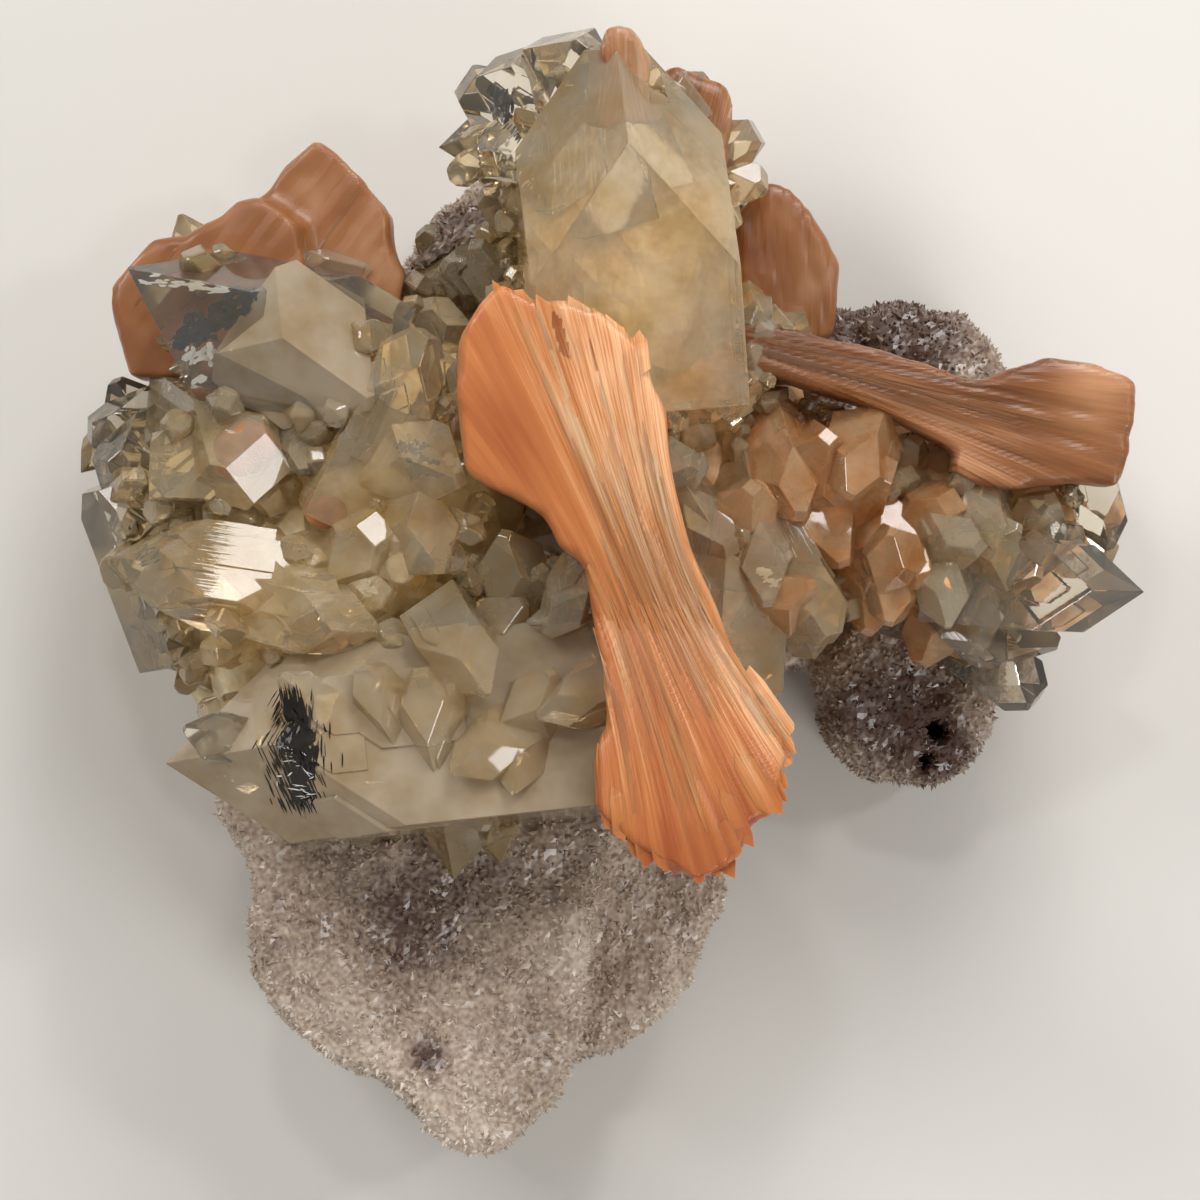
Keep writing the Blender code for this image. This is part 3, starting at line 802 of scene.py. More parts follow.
# The crystals that show on their own, from the upper left round to the right
MAIN_CRYSTALS = (
    # Upper left: the clear one and the milky one beside it
    Crystal((-59.2, 41.6, 51.5), 150, 23, 30, 20.0, 34.0, 0.03, habit=Habit.CLEAR),
    Crystal((-28.6, 24.6, 57.0), -36, 40, 1, 18.0, 18.0, 0.08, habit=Habit.MILKY),
    # Far left rim
    Crystal((-63.8, 21.0, 36.0), 182, 16, 30, 8.5, 18.0, 0.30, habit=Habit.CLEAR),
    Crystal((-60.5, 27.5, 33.0), 118, 20, 10, 6.5, 16.0, 0.20, habit=Habit.CLEAR),
    Crystal((-62.0, 15.6, 41.0), 205, 30, 25, 8.5, 20.0, 0.35, habit=Habit.CLEAR),
    Crystal((-52.0, 17.0, 49.0), 80, 80, 8, 8.5, 20.0, 0.80),
    Crystal((-42.5, 16.5, 52.0), -35, 58, 30, 12.0, 24.0, 0.40),
    Crystal((-37.0, 16.0, 52.0), -80, 40, 40, 5.0, 12.0, 0.20),
    Crystal((-60.2, 15.0, 38.0), 110, 8, 35, 9.0, 24.0, 0.75, habit=Habit.CLEAR),
    Crystal((-57.8, 6.0, 42.0), 205, 25, 5, 9.0, 20.0, 0.15, habit=Habit.CLEAR),
    # The doubly pointed crystal with the bright six-sided face
    Crystal((-61.5, 5.0, 48.0), 171.5, 3, 24, 10.5, 29.5, 0.06, 2),
    Crystal((-54.8, -6.2, 38.0), 232, 12, 20, 7.0, 20.0, 0.10),
    Crystal((-49.3, -11.2, 36.0), 246, 14, 0, 8.0, 26.0, 0.20),
    Crystal((-50.0, -13.0, 44.0), 150, 22, 15, 7.5, 16.0, 0.15),
    # The long prism along the lower left, and the points below it
    Crystal((-54.4, -20.4, 49.0), 186, 2, 6, 23.0, 60.0, 0.02, habit=Habit.MILKY),
    Crystal((-18.2, -34.9, 44.0), -94, 10, 20, 11.0, 26.0, 0.03),
    Crystal((-12.4, -32.8, 46.0), -80, 25, 35, 4.5, 14.0, 0.10),
    Crystal((-14.2, -28.6, 57.0), -66, 38, 10, 8.5, 20.0, 0.12),
    Crystal((-20.5, -24.5, 58.0), -118, 48, 30, 6.5, 16.0, 0.18),
    Crystal((-9.5, -19.0, 60.0), -20, 55, 35, 7.5, 18.0, 0.20),
    # The middle, between the long prism and the leaning prism
    Crystal((-21.8, 33.4, 54.0), 62, 14, 18, 9.0, 26.0, 0.25),
    Crystal((-15.6, 32.2, 52.0), 84, 22, 30, 7.5, 22.0, 0.15),
    Crystal((-25.0, 20.0, 56.0), 140, 50, 20, 9.0, 22.0, 0.20),
    Crystal((-17.5, 15.0, 58.0), -25, 45, 5, 11.0, 24.0, 0.15),
    Crystal((-28.0, 9.0, 57.0), 60, 62, 25, 9.0, 20.0, 0.30),
    Crystal((-20.0, 4.0, 60.0), -60, 55, 12, 9.5, 22.0, 0.15),
    Crystal((-33.5, 1.5, 56.0), 20, 50, 40, 8.0, 18.0, 0.20),
    Crystal((-12.0, 8.5, 60.0), 100, 48, 15, 8.5, 20.0, 0.12),
    Crystal((-6.6, -4.6, 60.0), 237, 12, 28, 6.0, 16.0, 0.15, 2),
    Crystal((-9.5, 0.0, 58.0), 35, 40, 32, 7.0, 18.0, 0.15),
    Crystal((-27.5, -4.0, 58.0), -15, 35, 22, 8.0, 20.0, 0.10),
    Crystal((-38.0, -4.5, 54.0), -70, 45, 35, 7.0, 16.0, 0.15),
    Crystal((-18.0, -7.5, 60.0), 70, 35, 10, 8.0, 20.0, 0.25),
    # The large block at the top, and what grows on its left shoulder
    Crystal((1.5, 69.0, 50.0), 94, 8, 4, 25.6, 44.0, 0.16),
    Crystal((-20.4, 56.6, 36.0), 186, 8, 12, 7.5, 20.0, 0.0, habit=Habit.CLEAR),
    Crystal((-16.8, 64.6, 38.0), 150, 20, 30, 7.0, 18.0, 0.45, habit=Habit.CLEAR),
    Crystal((-12.0, 67.4, 40.0), 118, 20, 8, 9.5, 24.0, 0.45, habit=Habit.CLEAR),
    Crystal((-5.2, 70.2, 43.0), 104, 14, 20, 10.0, 24.0, 0.55, habit=Habit.CLEAR),
    Crystal((-14.0, 54.5, 44.0), 205, 34, 25, 10.0, 24.0, 0.25, habit=Habit.CLEAR),
    Crystal((19.6, 58.6, 34.0), 30, 12, 42, 4.6, 14.0, 0.55),
    Crystal((20.6, 52.8, 36.0), 12, 20, 15, 4.6, 14.0, 0.40),
    Crystal((-22.5, 46.0, 24.0), 140, 20, 18, 5.0, 14.0, 0.30),
    Crystal((-23.5, 38.5, 28.0), 190, 25, 30, 6.0, 16.0, 0.25),
    Crystal((-15.5, 44.5, 34.0), 120, 45, 10, 7.5, 18.0, 0.20),
    Crystal((-12.0, 50.5, 36.0), 150, 40, 33, 5.5, 14.0, 0.25),
    Crystal((-15.0, 50.5, 34.0), 160, 30, 12, 6.5, 16.0, 0.20),
    Crystal((-19.5, 42.0, 32.0), 165, 48, 28, 7.0, 18.0, 0.15),
    Crystal((-13.5, 38.5, 42.0), 140, 55, 5, 8.0, 20.0, 0.20),
    Crystal((-22.0, 37.0, 38.0), 120, 50, 20, 6.5, 20.0, 0.25),
    # Right of the bow tie
    Crystal((8.2, 30.8, 46.0), 184, 32, 20, 7.0, 20.0, 0.25),
    Crystal((14.6, 23.0, 52.0), -42, 40, 14, 9.5, 24.0, 0.15),
    Crystal((12.0, 17.5, 53.0), 0, 30, 30, 7.0, 20.0, 0.25),
    Crystal((19.0, 14.0, 52.0), 75, 55, 18, 7.5, 20.0, 0.20, habit=Habit.STAINED),
    Crystal((16.5, 6.5, 52.0), -30, 50, 5, 9.0, 22.0, 0.18),
    Crystal((25.0, 10.5, 50.0), -75, 42, 28, 7.0, 18.0, 0.20, habit=Habit.STAINED),
    Crystal((22.2, -12.0, 46.0), -58, 12, 22, 15.0, 34.0, 0.10),
    Crystal((28.6, -5.0, 48.0), -62, 20, 8, 8.5, 22.0, 0.25),
    Crystal((21.0, -0.5, 51.0), -80, 35, 38, 8.0, 20.0, 0.15),
    # The right arm
    Crystal((28.5, 20.5, 50.0), 70, 60, 22, 11.0, 24.0, 0.15, habit=Habit.STAINED),
    Crystal((35.5, 16.5, 48.0), 15, 58, 8, 12.5, 26.0, 0.20, habit=Habit.STAINED),
    Crystal((30.5, 4.5, 47.0), -60, 45, 30, 10.0, 24.0, 0.12, habit=Habit.STAINED),
    Crystal((40.5, 2.5, 46.0), -50, 48, 15, 10.5, 24.0, 0.18, habit=Habit.STAINED),
    Crystal((44.0, 12.0, 46.0), 40, 62, 35, 9.0, 20.0, 0.25, habit=Habit.STAINED),
    Crystal((51.0, 1.0, 45.0), -72, 14, 16, 6.6, 17.0, 0.10, 2),
    Crystal((68.0, 0.8, 40.0), -5, 2, 4, 11.0, 28.0, 0.03, habit=Habit.CLEAR),
    Crystal((63.8, 6.2, 36.0), -78, 16, 8, 6.0, 20.0, 0.12, habit=Habit.CLEAR),
    Crystal((60.0, 8.5, 41.0), 25, 45, 25, 6.5, 18.0, 0.20, habit=Habit.CLEAR),
    Crystal((56.4, 12.6, 42.0), 55, 55, 10, 6.5, 16.0, 0.20),
    Crystal((57.4, -5.4, 36.0), -18, 8, 30, 8.5, 22.0, 0.15, habit=Habit.CLEAR),
    Crystal((54.8, -12.2, 28.0), -38, 10, 5, 8.0, 20.0, 0.30, habit=Habit.CLEAR),
    Crystal((58.0, -1.5, 42.0), -30, 40, 40, 6.5, 18.0, 0.20, habit=Habit.CLEAR),
    Crystal((47.0, -6.5, 42.0), -85, 40, 20, 7.5, 20.0, 0.15),
    Crystal((40.0, -8.0, 38.0), -110, 22, 0, 7.0, 20.0, 0.18, habit=Habit.STAINED),
    Crystal((33.5, -4.0, 42.0), -100, 35, 25, 8.0, 20.0, 0.15, habit=Habit.STAINED),
)

# Lesser crystals that step the large faces and crowd the right arm
LESSER_CRYSTALS = (
    Crystal((-14.0, -12.0, 63.0), -60, 30, 10, 8.0, 14.0, 0.10),
    Crystal((-8.0, -14.5, 62.0), 200, 20, 30, 6.0, 12.0, 0.15),
    Crystal((-18.5, -21.5, 62.5), -150, 35, 20, 7.0, 12.0, 0.12),
    Crystal((-11.0, -24.0, 61.5), -100, 40, 5, 7.0, 13.0, 0.10),
    Crystal((-22.5, -9.0, 62.5), 100, 35, 38, 7.0, 13.0, 0.20),
    Crystal((-6.0, -9.0, 62.0), 60, 40, 15, 7.0, 12.0, 0.15),
    Crystal((-30.0, -8.0, 61.5), 120, 30, 25, 6.0, 12.0, 0.20),
    Crystal((-40.0, -9.5, 60.0), 140, 24, 8, 5.5, 12.0, 0.15),
    Crystal((-52.0, -16.0, 54.0), 160, 25, 22, 6.0, 12.0, 0.10, habit=Habit.CLEAR),
    Crystal((36.5, 8.5, 50.5), 100, 60, 12, 7.0, 14.0, 0.15, habit=Habit.STAINED),
    Crystal((26.5, 2.0, 51.5), 30, 50, 28, 6.5, 14.0, 0.20, habit=Habit.STAINED),
    Crystal((31.0, 13.0, 52.0), -110, 50, 35, 7.0, 14.0, 0.15, habit=Habit.STAINED),
    Crystal((47.5, 6.5, 49.0), -20, 55, 18, 6.5, 13.0, 0.20),
    Crystal((52.5, 9.0, 47.0), 20, 50, 5, 6.0, 12.0, 0.15),
    Crystal((43.5, -3.5, 47.0), -85, 32, 22, 6.5, 13.0, 0.10),
    Crystal((50.5, -8.0, 42.0), -50, 25, 12, 6.5, 13.0, 0.15, habit=Habit.CLEAR),
    Crystal((55.0, 3.5, 46.0), 0, 45, 30, 6.0, 12.0, 0.20, habit=Habit.CLEAR),
    Crystal((36.0, -3.0, 46.0), -100, 40, 40, 6.0, 12.0, 0.15, habit=Habit.STAINED),
)

# A crevice is a place where enough of the looks around it meet the group nearby
LOOKS, LOOKS_BLOCKED = 12, 4
# How far a look reaches, in millimetres, and how many degrees lie between two of them
LOOK_REACH, LOOK_TURN = 9.0, 137.5
# How many times as long as wide the small crystals are
SMALL_SLENDERNESS = 2.6
# How wide the worn edges of crystals grown on a large one are, against its own
COMPANION_EDGE = 0.6

# The massive apophyllite that the crystals grow out of: middle and half sizes
ROOTS = (
    ((-28.0, 4.0, 28.0), (29.0, 33.0, 20.0)),
    ((3.0, 40.0, 26.0), (15.0, 26.0, 16.0)),
    ((11.0, 12.0, 26.0), (19.0, 24.0, 18.0)),
    ((40.0, 10.0, 25.0), (23.0, 14.0, 13.0)),
    ((-40.0, 36.0, 24.0), (14.0, 12.0, 12.0)),
)
# Which of them are stained peach: those under the right side
STAINED_ROOTS = slice(2, 4)


def bearing_vector(bearing: float, lift: float) -> Vector:
    """Turn a bearing and a lift to a direction.

    Args:
        bearing: Degrees in the picture, with 90 up it.
        lift: Degrees towards the eye.

    Returns:
        The direction, of length 1.
    """
    turn = math.radians(bearing)
    rise = math.radians(lift)
    return Vector(
        (math.cos(turn) * math.cos(rise), math.sin(turn) * math.cos(rise), math.sin(rise))
    )


@dataclass
class ApophylliteCrystals:
    """The apophyllite group: crystals of four habits, the massive root and what they enclose.

    edge is the width of the worn edges, and uneven the most that a pyramid face lies back as a
    share of the crystal's width. root_size is the root's size against the solid's. cover is how
    far under the face the enclosed stilbite starts, and the two rough values how far the bulges
    of the root and of that stilbite stand out. Lengths are in millimetres.
    """

    node: str = "apophyllite_crystals"
    edge: float = 0.08
    uneven: float = 0.03
    small_count: int = 38
    small_across: tuple[float, float] = (4.0, 7.0)
    small_spacing: float = 7.0
    tiny_count: int = 420
    tiny_across: tuple[float, float] = (1.4, 4.4)
    root_size: float = 0.95
    root_rough: float = 1.1
    cover: float = 1.0
    enclosed_rough: float = 0.5
    seed: int = 11

    def between(self) -> list[Crystal]:
        """Place the small crystals that stand off the roots, as the solid has them.

        Returns:
            The small crystals.
        """
        rng = random.Random(self.seed)
        placed = [Vector(c.tip) for c in MAIN_CRYSTALS]
        made = []
        while len(made) < self.small_count:
            middle, halves = rng.choice(ROOTS)
            bearing = rng.uniform(0, 360)
            lift = rng.uniform(8, 75)
            out = bearing_vector(bearing, lift)
            spot = Vector(middle) + Vector(o * h for o, h in zip(out, halves))
            spot += out * rng.uniform(2.0, 5.0)
            if any((spot - other).length < self.small_spacing for other in placed):
                continue
            across = rng.uniform(*self.small_across)
            turn = bearing + rng.uniform(-30, 30)
            rise = max(4.0, lift + rng.uniform(-25, 15))
            roll = rng.uniform(0, 45)
            blunt = rng.uniform(0.05, 0.45)
            long = across * SMALL_SLENDERNESS
            made.append(Crystal(tuple(spot), turn, rise, roll, across, long, blunt))
            placed.append(spot)
        return made

    def crevices(self, count: int) -> list[tuple[Vector, Vector]]:
        """Find places between the crystals where small ones would grow.

        Args:
            count: How many places.

        Returns:
            A point on the solid and the direction outwards, for each place.
        """
        rng = random.Random(self.seed + 1)
        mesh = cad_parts[self.node].data
        tree = tree_of(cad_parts[self.node])
        faces = [f for f in mesh.polygons if f.normal.z > -0.2]
        areas = [f.area for f in faces]
        made = []
        while len(made) < count:
            face = rng.choices(faces, areas)[0]
            a, b, c = (mesh.vertices[i].co for i in face.vertices[:3])
            s, t = rng.random(), rng.random()
            if s + t > 1:
                s, t = 1 - s, 1 - t
            spot = a + (b - a) * s + (c - a) * t
            start = spot + face.normal * 0.3 * MM
            hits = 0
            open_way = Vector((0, 0, 0.15))
            for step in range(LOOKS):
                look = bearing_vector(step * LOOK_TURN, 20 + 5 * step)
                way = (look + face.normal * 0.6).normalized()
                if tree.ray_cast(start, way, LOOK_REACH * MM)[0] is not None:
                    hits += 1
                else:
                    open_way += way
            if hits >= LOOKS_BLOCKED and open_way.length > 0.5:
                made.append((spot, open_way.normalized()))
        return made

    def build(self) -> None:
        """Model the crystals by habit, their root, and what they enclose."""
        rng = random.Random(self.seed + 2)
        bodies = {habit: [] for habit in Habit}
        for crystal in MAIN_CRYSTALS + LESSER_CRYSTALS + tuple(self.between()):
            bodies[crystal.habit].append(crystal.model(self.edge, self.uneven, rng))
            for companion in crystal.companions(rng):
                small = companion.model(self.edge * COMPANION_EDGE, self.uneven, rng)
                bodies[crystal.habit].append(small)
        bodies[Habit.CHAMPAGNE] += self.tiny(rng)
        skins = []
        for habit, finish in CRYSTAL_FINISHES.items():
            skin = fused(f"apophyllite_{habit.value}_crystals", bodies[habit])
            stands_for = (self.node,) if habit is Habit.CHAMPAGNE else ()
            finish_piece(skin, finish.make(), Slot.APOPHYLLITE.value, *stands_for)
            skins.append(skin)
        self.build_roots()
        self.build_inclusions(tree_of(*skins))

    def tiny(self, rng: random.Random) -> list[bpy.types.Object]:
        """Fill the crevices with crystals a few millimetres wide.

        Args:
            rng: Source of chance.

        Returns:
            The tiny crystals.
        """
        start = Crystal((0, 0, 0), 0, 0, 0, 1.0, 2.4)
        patterns = [replace(start, blunt=b).model(0.05, 0.08, rng) for b in (0, 0.2, 0.45, 0.7)]
        home = start.place().inverted()
        copies = []
        for spot, way in self.crevices(self.tiny_count):
            pattern = rng.choice(patterns)
            size = rng.uniform(*self.tiny_across)
            lean = Vector((rng.uniform(-1, 1), rng.uniform(-1, 1), rng.uniform(-0.4, 1)))
            way = (way + lean * 0.55).normalized()
            turn = way.to_track_quat("Z", "Y").to_matrix().to_4x4()
            spin = Matrix.Rotation(rng.uniform(0, math.pi), 4, "Z")
            tip = Matrix.Translation(spot + way * size * rng.uniform(0.6, 1.5) * MM)
            copy = pattern.copy()
            copy.data = pattern.data.copy()
            copy.data.transform(tip @ turn @ spin @ Matrix.Scale(size, 4) @ home)
            copies.append(copy)
        for pattern in patterns:
            bpy.data.objects.remove(pattern)
        return copies

    def lump(
        self, middle: Vector, halves: tuple[float, ...], rough: float
    ) -> bpy.types.Object:
        """Model a rounded mass with an uneven surface.

        Args:
            middle: Its middle, in metres.
            halves: Its half sizes, in millimetres.
            rough: How far its bulges stand out, in millimetres.

        Returns:
            The mass.
        """
        deselect()
        bpy.ops.mesh.primitive_ico_sphere_add(subdivisions=5 if rough > 1 else 4, radius=1.0)
        lump = bpy.context.object
        size = Matrix.Diagonal(tuple(h * MM for h in halves) + (1,))
        lump.data.transform(Matrix.Translation(middle) @ size)
        points = points_of(lump)
        bulges = [
            noise.noise(Vector(p) / (5 * MM)) + 0.5 * noise.noise(Vector(p) / (1.8 * MM))
            for p in points
        ]
        outward = normals_of(lump) * np.array(bulges)[:, None]
        move_points(lump, points + outward * rough * MM)
        return lump

    def build_roots(self) -> None:
        """Model the lumpy milky mass that the crystals stand on, stained on the right."""
        milky = CloudyMass("massive apophyllite", pale="f2e2bc", deep="cfae74")
        stained = CloudyMass("massive apophyllite, stained", pale="f2c896", deep="c4884e")
        clean = ROOTS[: STAINED_ROOTS.start] + ROOTS[STAINED_ROOTS.stop :]
        for name, finish, stand in (
            ("apophyllite_root", milky, clean),
            ("stained_apophyllite_root", stained, ROOTS[STAINED_ROOTS]),
        ):
            lumps = [
                self.lump(seen(*middle), [h * self.root_size for h in halves], self.root_rough)
                for middle, halves in stand
            ]
            finish_piece(joined(name, lumps), finish.make(), Slot.APOPHYLLITE.value)

    def build_inclusions(self, skins: BVHTree) -> None:
        """Put the enclosed stilbite into the crystals, and cracks as flakes painted dark for a dark
        reflection and white for a glint.

        Args:
            skins: The crystals' faces.
        """
        lumps = []
        for u, v, halves in ENCLOSED_STILBITE:
            spot, normal = seen_hit(skins, u, v)
            middle = spot - normal * (min(halves) + self.cover) * MM
            lumps.append(self.lump(middle, halves, self.enclosed_rough))
        piece = joined("enclosed_stilbite", lumps)
        finish = CloudyMass("stilbite enclosed in apophyllite", pale="d0905c", deep="9c5226")
        finish_piece(piece, finish.make(), Slot.STILBITE.value)
        # Painted reflection and painted glints: dark flakes where open cracks show dark, white
        # flakes where cracks glint
        dark = CloudyMass("open crack, seen dark", pale="2b241d", deep="0c0a08", roughness=0.2)
        painted_glint_finish = CloudyMass("silvery crack", pale="ffffff", deep="e6e2da", roughness=0.15)
        for name, bands, finish in (
            ("cracks_painted_dark", CRACKS_PAINTED_DARK, dark),
            ("cracks_painted_glint", CRACKS_PAINTED_GLINT, painted_glint_finish),
        ):
            corners = np.vstack([band.flakes(skins) for band in bands])
            mesh = bpy.data.meshes.new(name)
            mesh.from_pydata(corners.reshape(-1, 3).tolist(), [], plate_faces(len(corners)))
            piece = bpy.data.objects.new(name, mesh)
            link(piece)
            finish_piece(piece, finish.make(), Slot.APOPHYLLITE.value)


PLATE_CORNERS = 6
# In millimetres
PLATE_THICKNESS = 0.03


def plate_faces(count: int) -> list[tuple[int, ...]]:
    """List the faces of closed plates whose upper corners come before their lower ones.

    Args:
        count: How many plates.

    Returns:
        Each face's corners.
    """
    faces = []
    for plate in range(count):
        top = [plate * 2 * PLATE_CORNERS + i for i in range(PLATE_CORNERS)]
        low = [i + PLATE_CORNERS for i in top]
        faces.append(tuple(top))
        faces.append(tuple(reversed(low)))
        for i in range(PLATE_CORNERS):
            j = (i + 1) % PLATE_CORNERS
            faces.append((top[i], low[i], low[j], top[j]))
    return faces


@dataclass(frozen=True)
class CrackBand:
    """A band of thin flakes in a crystal, seen between two places of the picture.

    length and breadth are the most that a flake has, bearing is the way its length takes in
    degrees, and stray how far that varies. depth is how far the flakes lie under the face, and
    below nought for flakes that lie on it. Lengths are in millimetres.
    """

    start: tuple[float, float]
    stop: tuple[float, float]
    width: float
    count: int
    length: float
    breadth: float
    bearing: float
    depth: tuple[float, float]
    stray: float
    seed: int

    def flakes(self, skins: BVHTree) -> np.ndarray:
        """Lay out the flakes as closed six-cornered plates.

        Args:
            skins: The crystals' faces.

        Returns:
            The corners, by flake.
        """
        rng = random.Random(self.seed)
        run = Vector(self.stop) - Vector(self.start)
        across = Vector((-run.y, run.x)).normalized()
        made = []
        for _ in range(self.count):
            share = rng.random()
            off = rng.gauss(0, 0.3) * self.width * (0.5 + 0.5 * math.sin(share * math.pi))
            at = Vector(self.start) + run * share + across * off
            found = seen_hit(skins, at.x, at.y)
            if found is None:
                continue
            spot, normal = found
            spot = spot - normal * rng.uniform(*self.depth) * MM
            turn = math.radians(self.bearing + rng.gauss(0, self.stray))
            way = Vector((math.cos(turn), math.sin(turn), 0))
            way = (way - normal * way.dot(normal)).normalized()
            side = normal.cross(way)
            long = self.length * rng.uniform(0.3, 1.0) / 2 * MM
            wide = self.breadth * rng.uniform(0.4, 1.0) / 2 * MM
            ring = []
            for corner in range(PLATE_CORNERS):
                angle = corner * 2 * math.pi / PLATE_CORNERS + rng.uniform(-0.3, 0.3)
                ring.append(spot + way * math.cos(angle) * long + side * math.sin(angle) * wide)
            low = [point - normal * PLATE_THICKNESS * MM for point in ring]
            made.append(ring + low)
        return np.array(made)


# Stilbite that shows through the faces: where it is seen, and its half sizes
ENCLOSED_STILBITE = (
    (-43.4, 18.3, (3.8, 3.4, 1.6)),
    (-34.0, 10.5, (2.6, 2.2, 1.4)),
)
# Bands of flakes painted dark for the dark reflection in open cracks
CRACKS_PAINTED_DARK = (
    CrackBand((-38.8, -11.6), (-37.8, -26.0), 6.0, 460, 3.4, 0.26, 91, (-0.05, -0.04), 2.0, 1),
    CrackBand((-38.0, -13.0), (-37.0, -24.5), 3.0, 190, 2.6, 1.0, 93, (-0.05, -0.04), 6.0, 2),
    CrackBand((-53.6, 31.6), (-43.6, 38.2), 3.6, 90, 2.8, 1.3, 35, (0.5, 2.4), 12.0, 3),
    CrackBand((-60.5, 9.0), (-55.5, 5.5), 2.2, 30, 2.0, 0.8, 60, (0.4, 2.0), 20.0, 4),
    CrackBand((-14.0, 64.0), (-11.0, 58.0), 3.0, 34, 2.0, 0.8, 70, (0.4, 2.0), 20.0, 5),
    CrackBand((-25.5, 19.5), (-20.0, 17.5), 2.4, 34, 1.3, 0.9, 20, (0.1, 0.5), 40.0, 7),
)
# Bands of white flakes painted for the glints of cracks
CRACKS_PAINTED_GLINT = (
    CrackBand((-55.0, 27.5), (-46.0, 32.0), 3.6, 44, 2.2, 1.1, 50, (0.3, 2.4), 20.0, 11),
    CrackBand((-57.0, 40.0), (-47.0, 38.8), 1.2, 30, 2.6, 0.5, -5, (0.2, 0.9), 8.0, 16),
    CrackBand((-38.6, -18.0), (-37.0, -25.0), 4.0, 26, 2.2, 0.2, 0, (-0.10, -0.09), 28.0, 17),
    CrackBand((-12.6, 46.0), (-10.0, 33.0), 1.4, 30, 1.0, 0.6, 80, (0.05, 0.4), 30.0, 18),
    CrackBand((-12.0, 57.0), (-8.0, 50.0), 2.4, 22, 1.2, 0.5, 60, (0.05, 0.4), 30.0, 19),
    CrackBand((-30.0, 2.5), (-28.0, 1.2), 1.4, 22, 1.4, 0.7, 10, (0.1, 0.8), 30.0, 12),
    CrackBand((-19.2, 18.0), (-17.6, 16.6), 1.2, 26, 1.2, 0.8, 20, (0.02, 0.1), 40.0, 13),
    CrackBand((20.0, 4.0), (22.5, 1.8), 1.8, 26, 1.6, 0.6, 15, (0.2, 1.2), 30.0, 14),
    CrackBand((24.5, 23.5), (28.0, 22.5), 1.4, 22, 1.4, 0.6, 10, (0.1, 0.8), 30.0, 15),
)


# A sheaf's smooth part: the share across where it ends and over how much of it it fades
CALM_SHARE, CALM_FADE = 0.62, 0.25
# The place along where the smooth part starts and over what it sets in, in metres
CALM_START, CALM_REACH = -0.004, 0.012
# Wide and narrow laths: their number and their height, as shares of a sheaf's own
LATH_LAYERS = ((0.4, 0.8), (1.0, 0.7))
# Places along the sheaf between which a lath's height changes
LATH_STATIONS = 8
# Thin blades on a sheaf: their width, thickness and stand over it, in millimetres
THIN_BLADE = ((0.25, 0.8), (0.5, 0.9), (-0.04, 0.08))
# The thick blades at a sheaf's ends, in the same way
END_BLADE = ((1.6, 3.4), (3.0, 5.0), (-0.9, 0.1))
# In how many lengths a blade is bent, and how narrow its chisel end is
BLADE_STEPS = 6
CHISEL = 0.55
# The rim is looked for from an end inwards, in steps of this many millimetres
RIM_STEPS, RIM_STEP = 40, 0.4


